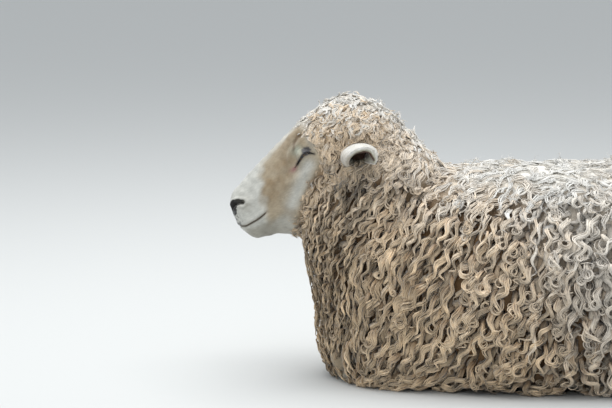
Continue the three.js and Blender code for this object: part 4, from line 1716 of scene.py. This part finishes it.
@dataclass(frozen=True)
class Coat:
    """Locks of wavy strands that root in the skin, rise through the coat and lie along it.

    A lock's middle line is marched over the outline: each step goes along the lie of the coat in the tangent
    plane, and then along the normal to the height that the lock has there. Its strands swing about that line.
    Locks stand where a form is not buried in another, and clear of the floor.
    """

    steps: int = 12
    buried: float = -9.0
    lowest: float = 12.0
    ear_clear: float = 1.03

    def roots(self, form: Form, spacing: float, draw: np.random.Generator) -> tuple[Array, Array]:
        """Jittered places, about a spacing apart, over a form.

        Args:
            form: the form to cover.
            spacing: the mean distance between neighbours.
            draw: the source of random numbers.

        Returns:
            Distances along the form and angles round it.
        """
        fine = np.linspace(form.start + 0.5, form.end - 0.5, 600)
        girth = form.radius(fine, np.full_like(fine, 1.2)) * form.opening(fine)
        length = np.concatenate([[0.0], np.cumsum(np.hypot(np.diff(fine), np.diff(girth)))])
        rows = np.arange(spacing / 2, length[-1], spacing * 0.87)
        along, angle = [], []
        ring = np.linspace(0, TAU, 181)
        for k, row in enumerate(rows):
            s = float(np.interp(row, length, fine))
            loop = form.surface(np.full_like(ring, s), ring)
            way = np.concatenate([[0.0], np.cumsum(np.linalg.norm(np.diff(loop, axis=0), axis=1))])
            count = max(3, int(round(way[-1] / spacing)))
            marks = (np.arange(count) + 0.5 * (k % 2) + draw.uniform(-0.36, 0.36, count)) / count * way[-1]
            angle.append(np.interp(np.mod(marks, way[-1]), way, ring))
            jitter = draw.uniform(-0.36, 0.36, count) * spacing
            along.append(np.interp(np.clip(row + jitter, 0, length[-1]), length, fine))
        return np.concatenate(along), np.concatenate(angle)

    def lie(self, points: Array, normals: Array) -> Array:
        """The way the coat lies: down, forward over the shoulder, and apart on both sides of the spine.

        The way is (lean, apart * tanh(y / 25), -1), taken into the tangent plane.
        """
        x, y = points[..., 0], points[..., 1]
        lean = -0.55 * smooth(-350, -290, x) * (1 - smooth(-60, 120, x)) - 0.06 + 0.22 * smooth(380, 520, x)
        along, _, height = HEAD.own(points)
        crown = smooth(60, 95, height) * smooth(190, 230, along) * (1 - smooth(350, 420, along))
        cheek = smooth(60, -10, height) * smooth(250, 180, along) * (points[..., 2] > 240)
        lean = lean - 0.5 * crown - 0.35 * cheek
        apart = 0.55 - 0.7 * smooth(-290, -350, x) * smooth(380, 330, points[..., 2])
        apart = apart - 0.3 * smooth(-150, -200, x) * smooth(400, 430, points[..., 2])
        way = np.stack([lean, apart * np.tanh(y / 25.0), np.full_like(x, -1.0)], axis=-1)
        return unit(way - dot(way, normals) * normals)

    def march(self, start: Array, reach: Array, heights: Array, swerve: Array) -> tuple[Array, Array]:
        """Middle lines of locks.

        Args:
            start: points on the skin, shape (n, 3).
            reach: how far each lock goes along the body.
            heights: the distance from the outline at each step, shape (n, steps + 1).
            swerve: how far each lock turns off the lie of the coat, in radians.

        Returns:
            Points and normals along the middle lines, both of shape (n, steps + 1, 3).
        """
        points, normals = [start], [OUTLINE.normal(start)]
        here, normal = start, normals[0]
        cos, sin = np.cos(swerve)[:, None], np.sin(swerve)[:, None]
        for k in range(1, self.steps + 1):
            way = self.lie(here, normal)
            way = way * cos + np.cross(normal, way) * sin
            low = smooth(60.0, 10.0, here[:, 2])[:, None]
            way[:, 2:] *= 1 - 0.9 * low
            rise = heights[:, k] - heights[:, k - 1]
            step = reach / self.steps
            flat = np.sqrt(np.maximum(step**2 - rise**2, (0.25 * step) ** 2))[:, None]
            here = here + unit(way) * flat
            normal = OUTLINE.normal(here)
            here = here + normal * (heights[:, k] - OUTLINE.distance(here))[:, None]
            points.append(here)
            normals.append(normal)
        return np.stack(points, axis=1), np.stack(normals, axis=1)

    @staticmethod
    def hook(lines: Array, normal: Array, run: Array, swing: Array, radius: Array) -> Array:
        """Strands whose outer part is bent to an arc in the coat's plane, and lifts as it goes round.

        The arc is ahead * r sin(s / r) + aside * r (1 - cos(s / r)) + out * (s / r - 0.6).

        Args:
            lines: the strands' points, shape (n, k, 3).
            normal: the coat's normals there.
            run: how far along its strand each point lies.
            swing: the angle of the wave there, which gives the side to bend to.
            radius: the radius of each arc.

        Returns:
            The bent strands' points.
        """
        start = int(0.3 * lines.shape[1])
        ahead = unit(lines[:, start + 1] - lines[:, start - 1])[:, None]
        out = unit(normal[:, start])[:, None]
        aside = np.cross(ahead, out) * -np.sign(np.sin(swing[:, start]))[:, None, None]
        s = np.maximum(run - run[:, start, None], 0)
        r = radius[:, None]
        turn = np.minimum(s / r, 4.7)
        arc = (
            ahead * (r * np.sin(turn))[..., None]
            + aside * (r * (1 - np.cos(turn)))[..., None]
            + out * (turn - 0.6)[..., None]
        )
        bent = lines[:, start, None] + arc
        return np.where((np.arange(lines.shape[1]) > start)[None, :, None], bent, lines)

    def around_ears(self, lines: Array) -> Array:
        """Strands moved out of the ears: a point inside an ear's oval goes straight out past its reach."""
        near = (lines[..., 0] < -220) & (lines[..., 2] > 380) & (np.abs(lines[..., 1]) > 60)
        points = lines[near]
        for side in Side:
            t, angle, beyond = EAR.own(side, points)
            middle, _, _ = EAR.frame(side, np.linspace(0, 1, EAR.samples))
            centre = middle[EAR.nearest(t)]
            inside = (beyond < self.ear_clear) & (beyond > 0.6) & (t < 0.995) & EAR.closed(t, angle)
            inside &= points[:, 1] * side.value > 60
            grown = centre + (points - centre) * (self.ear_clear / np.maximum(beyond, 0.12))[:, None]
            points = np.where(inside[:, None], grown, points)
        lines = lines.copy()
        lines[near] = points
        return lines

    @staticmethod
    def in_ears(lines: Array) -> Mask:
        """Which strands have a point inside an ear's oval, past its base."""
        found = np.zeros(len(lines), dtype=bool)
        for side in Side:
            t, angle, beyond = EAR.own(side, lines)
            room = np.where(EAR.closed(t, angle), 0.98, 0.72 - 0.3 * smooth(0.5, 0.1, t))
            found |= ((beyond < room) & (t > 0.02) & (lines[..., 1] * side.value > 76)).any(axis=1)
        return found

    def bed(self, growth: Growth, draw: np.random.Generator) -> Locks:
        """The middle lines of one growth's locks.

        A lock roots in the skin, rises to its height in the coat over its first quarter, and lifts or dips at
        its tip.

        Args:
            growth: the kind of wool and where it grows.
            draw: the source of random numbers.

        Returns:
            The locks.
        """
        wool, form = growth.wool, growth.form
        along, angle = self.roots(form, wool.spacing, draw)
        skin = form.surface(along, angle)
        outside = (OUTLINE.distance(skin) > self.buried) & (skin[:, 2] > self.lowest)
        keep = outside & (growth.where(skin) > draw.uniform(size=len(skin)))
        along, angle, skin = along[keep], angle[keep], skin[keep]
        n, scale = len(skin), growth.size(skin)
        size = scale * draw.uniform(0.64, 1.28, n)
        depth = wool_depth(form, skin) + 1.5
        length = wool.length * scale * draw.uniform(0.75, 1.25, n)
        level = np.clip(draw.normal(0, 1, n), -2, 2)
        top = (wool.level * level - wool.swing * 0.45 - wool.core[1] * 1.1) * size - wool.sink
        top = np.maximum(top, 1.0 - depth)
        t = np.linspace(0, 1, self.steps + 1)
        rise = smooth(0.0, 0.24, t)[None]
        tipping = smooth(wool.tip[2], 1.0, t)[None] * draw.uniform(*wool.tip[:2], n)[:, None] * size[:, None]
        heights = -depth[:, None] * (1 - rise) + top[:, None] * rise + tipping
        start = skin - OUTLINE.normal(skin) * (depth + OUTLINE.distance(skin))[:, None]
        swerve = draw.normal(0, wool.scatter, n) * (0.8 + 0.8 * smooth(-60, 180, skin[:, 0]))
        swerve = swerve * (1 + 1.5 * smooth(45, 10, np.abs(skin[:, 1])) * smooth(380, 420, skin[:, 2]))
        swerve = swerve + 0.25 * ripple(skin, 120, growth.seed + 1)
        path, normals = self.march(start, length, heights, swerve)
        return Locks(skin, unwrap(form, along, angle), scale, size, length, level, path, normals)

    def strands(self, growth: Growth, locks: Locks, draw: np.random.Generator) -> tuple[Strands, Mask]:
        """A cord and thin strands on each lock.

        Each strand swings about its lock's line as sin(2 pi distance / wavelength + phase), nearly in step
        with the others. Locks close together swing alike, because the phase follows the height of the root.

        Args:
            growth: the kind of wool and where it grows.
            locks: the locks.
            draw: the source of random numbers.

        Returns:
            All the strands, and which of them are cords.
        """
        wool, skin, length = growth.wool, locks.skin, locks.length
        n, s, k = len(skin), wool.strands + 1, wool.segments + 1
        which = np.repeat(np.arange(n), s)
        core = np.arange(n * s) % s == 0
        size = locks.size[which]

        def share(low: float, high: float) -> Array:
            """A random number for each strand, from low to high."""
            return draw.uniform(low, high, n * s)

        reach = np.where(core, 0.95, share(0.82, 1.0))
        hooked = (draw.uniform(size=n) < wool.hooks)[which]
        u = np.linspace(0, 1, k)[None] ** np.where(hooked, 0.55, 0.8)[:, None]
        t = u * reach[:, None]
        slow = t - 0.12 * smooth(0.7, 1.0, t)
        middle = along_curves(locks.path[which], slow)
        across, normal = square_to(middle, unit(along_curves(locks.normals[which], slow)))
        wave = wool.wavelength * locks.scale * draw.uniform(0.85, 1.2, n)
        hand = np.where(draw.uniform(size=n) < 0.5, -1.0, 1.0)[which][:, None]
        phase = -TAU * skin[:, 2] / wool.wavelength + 2.4 * ripple(skin, 130, growth.seed + 2)
        phase = phase + draw.normal(0, wool.chaos, n)
        stray = np.where(draw.uniform(size=n * s) < 0.3, 3.0, 1.0)
        phase = phase[which] + np.where(core, 0.0, share(-0.3, 0.3) * stray)
        swing = TAU * (length / wave)[which][:, None] * (t + 0.18 * t**3) + phase[:, None]
        rock = hand * np.cos(swing)
        loose = 0.8 + 0.4 * smooth(-220, 140, skin[:, 0])
        strength = (wool.swing * locks.size * loose * draw.uniform(0.7, 1.3, n))[which]
        strength = strength * np.where(core, 0.95, share(0.85, 1.2))
        curl = 0.45 * smooth(-150, 60, skin[:, 0])[which][:, None]
        strength = strength[:, None] * (0.1 + 0.9 * smooth(0.05, 0.45, t)) * (1 + curl * smooth(0.5, 0.95, t))
        taper = (0.55 + 0.45 * smooth(0.0, 0.3, u)) * (1 - 0.86 * smooth(0.45, 1.0, u) ** 1.2)
        pinch = 0.86 + 0.24 * np.sin(swing + 0.9)
        spot = share(0.1, math.pi - 0.1)[:, None] + hand * 1.3 * (t - 0.4)
        spread = size[:, None] * taper * pinch * np.where(core, 0.0, share(0.85, 1.25))[:, None]
        aside = strength * np.sin(swing) + wool.gather * wool.core[0] * spread * np.cos(spot)
        outward = 0.5 * wool.relief * strength * rock + wool.core[1] * spread * np.sin(spot)
        lines = middle + across * aside[..., None] + normal * outward[..., None]
        bend = (wool.swing * 1.45 * locks.size * draw.uniform(0.8, 1.3, n))[which]
        hooks = self.hook(lines, normal, t * length[which][:, None], swing, bend)
        lines = np.where(hooked[:, None, None], hooks, lines)
        across, normal = square_to(lines, normal)
        lean = (0.55 * wool.relief * rock)[..., None]
        cos, sin = np.cos(lean), np.sin(lean)
        across, normal = across * cos + normal * sin, normal * cos - across * sin
        plump = size * share(0.85, 1.2)
        body = taper * np.where(core[:, None], pinch, 1.0)
        wide = (np.where(core, wool.core[0], wool.radius) * plump)[:, None] * body
        thick = (np.where(core, wool.core[1], wool.radius * 0.8) * plump)[:, None] * body
        lines = self.around_ears(lines)
        lines[..., 2] = np.maximum(lines[..., 2], thick + 0.4)
        colours = self.dye(wool, locks, draw, core, lines, t, rock)
        order = np.arange(n * s) % s
        offset = np.stack([order % 3 - 1.0, order // 3 - 0.5], axis=-1) * PATCH * 1.15
        places, twist = locks.places[which] + offset, hand * 2.6 * t
        return Strands(lines, across, normal, wide, thick, colours, places, skin[which], twist, 3), core

    @staticmethod
    def dye(
        wool: Wool, locks: Locks, draw: np.random.Generator, core: Mask, lines: Array, t: Array, rock: Array
    ) -> Array:
        """The strands' colours: the marked wool with painted shade at the root, painted highlights on the
        waves' crests and on thin strands, lighter tips, higher locks painted lighter, and a tone of each lock
        and strand.

        Args:
            wool: the kind of wool.
            locks: the locks.
            draw: the source of random numbers.
            core: which strands are cords.
            lines: the strands' points.
            t: how far along its lock each point lies.
            rock: the rise and fall of the waves there.

        Returns:
            A linear colour for each point.
        """
        skin, n = locks.skin, len(locks.skin)
        which = np.repeat(np.arange(n), wool.strands + 1)
        calm = (1 - 0.75 * smooth(-60, 160, skin[:, 0]) * smooth(120, 260, skin[:, 2]))[which]
        # Higher locks painted lighter and lower ones darker, as painted light and shade; the rest is a random
        # tone.
        tone = 1 + (draw.normal(0.0, wool.variety, n) + wool.shade * locks.level)[which] * calm
        # Thin strands painted lighter than their cord, as a painted highlight.
        own = np.where(core, 0.94, 1 + draw.uniform(0.0, wool.bright, len(which)) * calm)
        tone = wool.tone * np.minimum(tone * own, LIGHTEST)
        # Painted shade at the root, fading out over the first half of the strand.
        light = (0.05 + 0.95 * smooth(0.06, 0.45, t))[..., None]
        # Painted highlight where the wave swings out and painted shade where it swings in; the tips a little
        # lighter.
        crest_highlight = 1 + 0.13 * rock * smooth(0.1, 0.4, t) + 0.1 * smooth(0.6, 1.0, t)
        about = draw.normal(0, 22, (n, 3))[which][:, None]
        full = MARKINGS.wool(0.5 * (lines + skin[which][:, None]) + about)
        # The root colour: the wool darkened by the painted shade of the coat's depths.
        root = full * MARKINGS.depth(skin)[which][:, None]
        colours = (root + (full - root) * light) * (tone[:, None] * crest_highlight)[..., None]
        return colours * np.minimum(1.0, BRIGHTEST / colours.max(axis=-1, keepdims=True))

    def grow(self, growth: Growth) -> list[Strands]:
        """All the locks of one growth, as their cords and their thin strands, without those inside an ear."""
        draw = np.random.default_rng(growth.seed)
        whole, core = self.strands(growth, self.bed(growth, draw), draw)
        inner = self.in_ears(whole.lines)
        cords, thin = whole.pick(core & ~inner), whole.pick(~core & ~inner)
        cords.sides, cords.ridge = 2 * growth.wool.ridges, growth.wool.ridge
        return [cords, thin]


def hair_on_face(p: Array) -> Array:
    """The chance of a tuft on the face, beside the nostril, the slit of the eye and the lips."""
    l, side, h = HEAD.own(p)
    bare = (1 - wool_share(p)) * (l < 235) * (l > -10) * (p[..., 0] < -290)
    wing = np.hypot(l - 18, h - 12) > 22
    along, over = LIDS.chord(l, h)
    eye = (np.abs(over) < 4.5) & (along > -0.1) & (along < 1.1) & (np.abs(side) > 30)
    lips = (np.abs(h - LIPS.at(l, 1)) < 4) & (l < 72)
    return bare * (wing | (np.abs(side) > 45)) * ~eye * ~lips * (0.35 + 0.65 * smooth(30, 90, l))


def hair_on_ears(p: Array) -> Array:
    """The chance of a tuft on the ears' backs and rims."""
    found = np.zeros(len(p))
    for side in Side:
        t, _, beyond = EAR.own(side, p)
        found = np.maximum(found, (p[:, 1] * side.value > 92) * (beyond > 0.84) * (beyond < 1.2) * (t < 1.0))
    return found


def hair_on_legs(p: Array) -> Array:
    """The chance of a tuft on the legs."""
    return (leg_gap(p) < 42) * (p[:, 2] < 84)


def face_way(p: Array) -> Array:
    """The face's hair lies back along the head and a little down."""
    cos, sin = HEAD.way
    return np.array([cos, 0.0, sin]) + np.array([0.15, 0, -0.35]) * np.ones((len(p), 1))


def ear_way(p: Array) -> Array:
    """The ears' hair lies out to the tip and a little down."""
    return np.stack([np.full(len(p), 0.1), np.sign(p[:, 1]), np.full(len(p), -0.2)], axis=-1)


def leg_way(p: Array) -> Array:
    """The legs' hair lies back and a little down."""
    return np.stack([np.ones(len(p)), np.zeros(len(p)), np.full(len(p), -0.3)], axis=-1)


def face_place(p: Array) -> Array:
    """Where points of the face are on the unwrapped skin."""
    along, side, up = HEAD.locate(p)
    return unwrap(HEAD, along, np.arctan2(-side, up))


def ear_place(p: Array) -> Array:
    """Where points of the ears are on the unwrapped skin: side by side, with back and inside apart."""
    one = np.ones(len(p))
    t, angle, beyond = EAR.own(Side.LEFT, p * np.stack([one, -np.sign(p[:, 1]), one], 1))
    u = 0.02 + 0.22 * (angle / math.pi + 1) + 0.47 * (p[:, 1] > 0) + 0.235 * (beyond < 0.88) * 0.98
    return np.stack([u, EAR_STRIP[0] + EAR_STRIP[1] * t], axis=-1)


def leg_place(p: Array) -> Array:
    """Where points of the legs are on the unwrapped skin: beside the trunk's over them."""
    return unwrap(TRUNK, p[:, 0], np.arctan2(-p[:, 1], p[:, 2] - TRUNK.middle))


@dataclass(frozen=True)
class ShortHair:
    """Small tapered tufts that lie flat on bare parts of the skin and break its outline.
    """

    name: str
    length: float
    radius: float
    lift: float
    count: int
    seed: int
    where: Field
    toward: Field
    place: Field
    segments: int = 2

    def grow(self, hide: Piece) -> Strands:
        """Tufts at random places of the skin, as many on each triangle as its area asks for.

        A tuft runs along the lie of the hair, length * u, and stands lift * sin(0.75 pi u) off the skin.

        Args:
            hide: the skin.

        Returns:
            The tufts.
        """
        draw, count = np.random.default_rng(self.seed), self.count
        mesh = hide.data
        mesh.calc_loop_triangles()
        corner = np.empty(len(mesh.loop_triangles) * 3, dtype=np.int32)
        mesh.loop_triangles.foreach_get("vertices", corner)
        corner = corner.reshape(-1, 3)
        vertices, normals = from_row(read_vectors(mesh.vertices, "co")), read_vectors(mesh.vertices, "normal")
        a, b, c = (vertices[corner[:, i]] for i in range(3))
        area = np.linalg.norm(np.cross(b - a, c - a), axis=1) * self.where((a + b + c) / 3)
        chosen = corner[draw.choice(len(corner), size=count, p=area / area.sum())]
        r1, r2 = np.sqrt(draw.uniform(size=count)), draw.uniform(size=count)
        mix = np.stack([1 - r1, r1 * (1 - r2), r1 * r2], axis=-1)[..., None]
        root = np.sum(vertices[chosen] * mix, axis=1)
        normal = unit(np.sum(normals[chosen] * mix, axis=1))
        way = self.toward(root) + draw.normal(0, 0.22, (count, 3))
        way = unit(way - dot(way, normal) * normal)
        u = np.linspace(0, 1, self.segments + 1)
        length = self.length * draw.uniform(0.7, 1.25, count)[:, None]
        lift = self.lift * draw.uniform(0.4, 1.4, count)[:, None]
        rise = lift * np.sin(0.75 * math.pi * u) - 0.25
        lines = root[:, None] + way[:, None] * (length * u)[..., None] + normal[:, None] * rise[..., None]
        lines[..., 2] = np.maximum(lines[..., 2], 0.6)
        across = np.broadcast_to(np.cross(way, normal)[:, None], lines.shape)
        full = np.broadcast_to(normal[:, None], lines.shape)
        slim = self.radius * (1 - 0.7 * u)
        wide = slim * draw.uniform(0.7, 1.3, count)[:, None]
        tone = draw.normal(1.04, 0.07, count)[:, None, None] * (0.92 + 0.16 * u)[None, :, None]
        colours = np.clip(np.sum(read_tint(mesh)[chosen] * mix, axis=1)[:, None] * tone, 0, 0.95)
        place, twist = self.place(root), np.zeros(wide.shape)
        return Strands(lines, across, full, wide, wide * 0.7, colours, place, root, twist, 3)


SHORT_HAIR = (
    ShortHair("face_hair", 8.0, 0.22, 0.12, 5000, 83, hair_on_face, face_way, face_place),
    ShortHair("ear_hair", 7.5, 0.26, 0.45, 2400, 89, hair_on_ears, ear_way, ear_place),
    ShortHair("leg_hair", 9.0, 0.45, 0.6, 900, 97, hair_on_legs, leg_way, leg_place),
)


@dataclass(frozen=True)
class Lashes:
    """The long upper lashes of both eyes, over the outer part of the slit."""

    count: int = 150
    length: float = 10.0
    radius: float = 0.42
    colour: Colour = linear(58, 56, 58)

    def build(self, finish: Material) -> Piece:
        """Lashes that leave the upper rim outwards and droop: out * u + down * u^2."""
        draw = np.random.default_rng(77)
        p = np.tile(0.22 + 0.84 * draw.uniform(0, 1, self.count) ** 0.8, 2)
        side = np.repeat([-1.0, 1.0], self.count)
        start, end = np.asarray(LIDS.inner), np.asarray(LIDS.outer)
        way = (end - start) / np.linalg.norm(end - start)
        over = LIDS.arch.at(p, 1) + LIDS.gap.at(p, 1) + draw.uniform(0.2, 1.6, 2 * self.count)
        flat = start + p[:, None] * (end - start) + over[:, None] * np.array([-way[1], way[0]])
        l, h = flat[:, 0], flat[:, 1]
        out = LIDS.shape(l, h, np.full_like(l, 55.0)) - 0.6
        u = np.linspace(0, 1, 6)
        length = self.length * draw.uniform(0.6, 1.1, 2 * self.count) * (0.6 + 0.4 * smooth(0.3, 0.7, p))
        along = l[:, None] + (length * (0.18 + 0.55 * (p - 0.5)))[:, None] * u
        droop = draw.uniform(-0.25, 0.95, 2 * self.count)
        high = h[:, None] - (droop * length)[:, None] * u**1.6
        away = out[:, None] + (0.7 * length)[:, None] * u * (1 - 0.3 * u)
        lines = HEAD.at(along, side[:, None] * away, high)
        heading = unit(np.gradient(lines, axis=1))
        normal = unit(np.cross(heading, [1.0, 0.0, 0.0]))
        across = np.cross(heading, normal)
        wide = np.broadcast_to(self.radius * (1 - 0.75 * u), lines.shape[:2])
        colours = np.broadcast_to(np.asarray(self.colour), lines.shape)
        angle = side * -1.2
        places = unwrap(HEAD, l, angle) + np.stack([draw.uniform(-0.01, 0.01, len(l)), 0 * l], axis=-1)
        twist = np.zeros(wide.shape)
        strands = Strands(lines, across, normal, wide, wide, colours, places, lines[:, 0], twist, 3)
        return coat_piece("lashes", [strands], finish)


# ---- Stage ----


@dataclass
class Studio:
    """A pale floor, soft light and a long lens from the sheep's left."""

    target: Place = (-404.0, 0.0, 337.0)
    distance: float = 5500.0
    elevation: float = math.radians(8.5)
    frame_width: float = 1193.4
    sensor: float = 36.0

    def camera(self) -> None:
        """The camera, level with the horizon and turned down to its target."""
        data = bpy.data.cameras.new("camera")
        data.sensor_width = self.sensor
        data.lens = self.sensor * self.distance / self.frame_width
        data.clip_end = 100.0
        camera = bpy.data.objects.new("camera", data)
        out = np.array([0.0, -math.cos(self.elevation), math.sin(self.elevation)]) * self.distance
        camera.location = to_row(np.asarray(self.target) + out)
        camera.rotation_euler = (math.pi / 2 - self.elevation, 0.0, 0.0)
        bpy.context.scene.collection.objects.link(camera)
        bpy.context.scene.camera = camera
        bpy.context.scene.view_settings.view_transform = "Standard"

    def floor(self) -> None:
        """A wide pale floor."""
        size = 30.0
        mesh = bpy.data.meshes.new("floor")
        corners = [(-size, -size, 0), (size, -size, 0), (size, size, 0), (-size, size, 0)]
        mesh.from_pydata(corners, [], [(0, 1, 2, 3)])
        floor = bpy.data.objects.new("floor", mesh)
        bpy.context.scene.collection.objects.link(floor)
        material, tree, shader = new_material("floor_paint")
        noise = add_node(tree, "ShaderNodeTexNoise", {"Scale": 3.0})
        ramp = add_node(tree, "ShaderNodeValToRGB", {"Fac": noise.outputs["Fac"]})
        ramp.color_ramp.elements[0].color = (0.60, 0.61, 0.60, 1)
        ramp.color_ramp.elements[1].color = (0.66, 0.67, 0.66, 1)
        set_inputs(tree, shader, {"Base Color": ramp.outputs["Color"], "Roughness": 0.9})
        mesh.materials.append(material)

    def lights(self) -> None:
        """An even pale surround, a broad light overhead and a weak one from the camera's side."""
        world = bpy.data.worlds.new("surround")
        bpy.context.scene.world = world
        world.use_nodes = True
        background = world.node_tree.nodes["Background"]
        background.inputs["Color"].default_value = (0.92, 0.96, 1.0, 1)
        background.inputs["Strength"].default_value = 0.72
        for name, place, size, power in (
            ("overhead", (-0.3, 0.2, 3.2), 3.6, 118.0),
            ("front_fill", (-1.6, -3.4, 1.6), 2.4, 12.0),
        ):
            data = bpy.data.lights.new(name, "AREA")
            data.size = size
            data.energy = power
            light = bpy.data.objects.new(name, data)
            light.location = place
            aim = np.array([-0.2, 0.0, 0.3]) - np.asarray(place)
            flat = math.hypot(aim[0], aim[1])
            light.rotation_euler = (math.atan2(flat, -aim[2]), 0.0, math.atan2(aim[1], aim[0]) - math.pi / 2)
            bpy.context.scene.collection.objects.link(light)


# ---- Putting it together ----


def union(name: str, parts: list[Piece]) -> Piece:
    """One closed mesh from overlapping closed ones, by exact-topology union, with its sources removed."""
    body = parts[0]
    body.name = name
    for other in parts[1:]:
        cutter = body.modifiers.new("join", "BOOLEAN")
        cutter.operation = "UNION"
        cutter.solver = "MANIFOLD"
        cutter.object = other
    depsgraph = bpy.context.evaluated_depsgraph_get()
    mesh = bpy.data.meshes.new_from_object(body.evaluated_get(depsgraph), depsgraph=depsgraph)
    body.modifiers.clear()
    body.data = mesh
    mesh.name = name
    for other in parts[1:]:
        bpy.data.objects.remove(other)
    return body


FLESH = (
    "neck", "shoulder_left", "shoulder_right", "trunk_barrel", "trunk_rump", "tail", "head", "muzzle",
    "lower_jaw", "ear_left", "ear_right", "forearm_left", "forearm_right", "fore_cannon_left",
    "fore_cannon_right", "shank_left", "shank_right", "hind_cannon_left", "hind_cannon_right",
)


FACE_HAIR = HairFinish("face_hair", 0.75, 0.2, 0.55, 0.6, 0.0008, (0.010, 0.0022, 0.0022), Grain.HEAD)
WOOL_UNDER = HairFinish("wool_under", 0.9, 0.4, 0.6, 0.8, 0.003, (0.009, 0.009, 0.03), Grain.UPRIGHT)
HAIR_TUFTS = HairFinish("hair_tufts", 0.65, 0.2, 0.25, 0.2, 0.0003, (0.9, 0.1, 1.0))
FLEECE_WOOL = HairFinish("fleece_wool", 0.62, 0.4, 1.7, 0.9, 0.0014, (0.32, 0.018, 1.0))
PALE_WOOL = HairFinish("pale_wool", 0.8, 0.8, 0.4, 0.4, 0.0005, (0.6, 0.025, 1.0))
CLAW_HORN = SmoothFinish("claw_horn", 0.55, 0.0, 0.4, 260.0)
WET_EYE = SmoothFinish("wet_eye", 0.3, 1.0, 0.0, 40.0)


def dress(piece: Piece, finish: Material) -> None:
    """Gives a piece its finish and its body."""
    piece.data.materials.append(finish)
    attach(piece, BODY)


@dataclass
class Sheep:
    """The whole animal: skin, eyeballs, claws, lashes, short hair and the fleece."""

    hair: Material
    under: Material
    tufts: Material
    wool: Material
    pale_wool: Material
    horn: Material
    wet: Material

    def skin(self) -> Piece:
        """The one skin, in place of the nodes of flesh."""
        hide = Skin().build()
        hide.data.materials.clear()
        dress(hide, self.hair)
        hide.data.materials.append(self.under)
        faces = hide.data.polygons
        bare = Skin.bareness(from_row(read_vectors(faces, "center")))
        faces.foreach_set("material_index", (bare < 0.5).astype(np.int32))
        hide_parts(*FLESH)
        log.info("skin: %d triangles", sum(len(face.vertices) - 2 for face in faces))
        return hide

    def eyes(self) -> None:
        """The eyeballs, in place of the eyes' nodes."""
        for side in Side:
            ball = Eyeball().build(side)
            dress(ball, self.wet)
            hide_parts(f"eye_{side.label}")
            log.info("%s: %d faces", ball.name, len(ball.data.polygons))

    def claws(self) -> None:
        """The eight claws, in place of the hooves' nodes."""
        for limb, toe in (("fore", 1.0), ("hind", -1.0)):
            nodes = [f"hoof_{limb}_{side.label}_{inner}" for side in Side for inner in ("outer", "inner")]
            for node in nodes:
                claw = Claw().build(node, toe)
                dress(claw, self.horn)
                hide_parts(node)
                log.info("%s: %d faces", claw.name, len(claw.data.polygons))

    def short_hair(self, hide: Piece) -> None:
        """The lashes, and flat tufts on the face, the ears and the legs."""
        Lashes().build(self.tufts)
        for hair in SHORT_HAIR:
            coat_piece(hair.name, [hair.grow(hide)], self.tufts)

    def fleece(self) -> None:
        """The wool of the trunk, neck, head and tail, in pieces by region and side."""
        coat = Coat()
        for growth in FLEECE:
            sets = coat.grow(growth)
            finish = self.pale_wool if growth.slot == "pale_fleece" else self.wool
            edges = np.quantile(sets[0].roots[:, 0], np.linspace(0, 1, growth.bins + 1)[1:-1])
            for part in range(growth.bins):
                number = f"_{part + 1}" if growth.bins > 1 else ""
                for side in Side:
                    chosen = [
                        strands.pick(
                            (np.searchsorted(edges, strands.roots[:, 0]) == part)
                            & (np.where(strands.roots[:, 1] < 0, -1, 1) == side.value)
                        )
                        for strands in sets
                    ]
                    coat_piece(f"wool_{growth.label}{number}_{side.label}", chosen, finish)


def main() -> None:
    """Builds the sheep's pieces in order and reports each."""
    logging.basicConfig(level=logging.INFO, format="%(message)s")
    studio = Studio()
    studio.camera()
    studio.floor()
    studio.lights()

    fibres = fibre_group()
    hairs = (FACE_HAIR, WOOL_UNDER, HAIR_TUFTS, FLEECE_WOOL, PALE_WOOL)
    sheep = Sheep(*(hair.make(fibres) for hair in hairs), CLAW_HORN.make(), WET_EYE.make())
    hide = sheep.skin()
    sheep.eyes()
    sheep.claws()
    sheep.short_hair(hide)
    sheep.fleece()


if __name__ == "__main__":
    main()
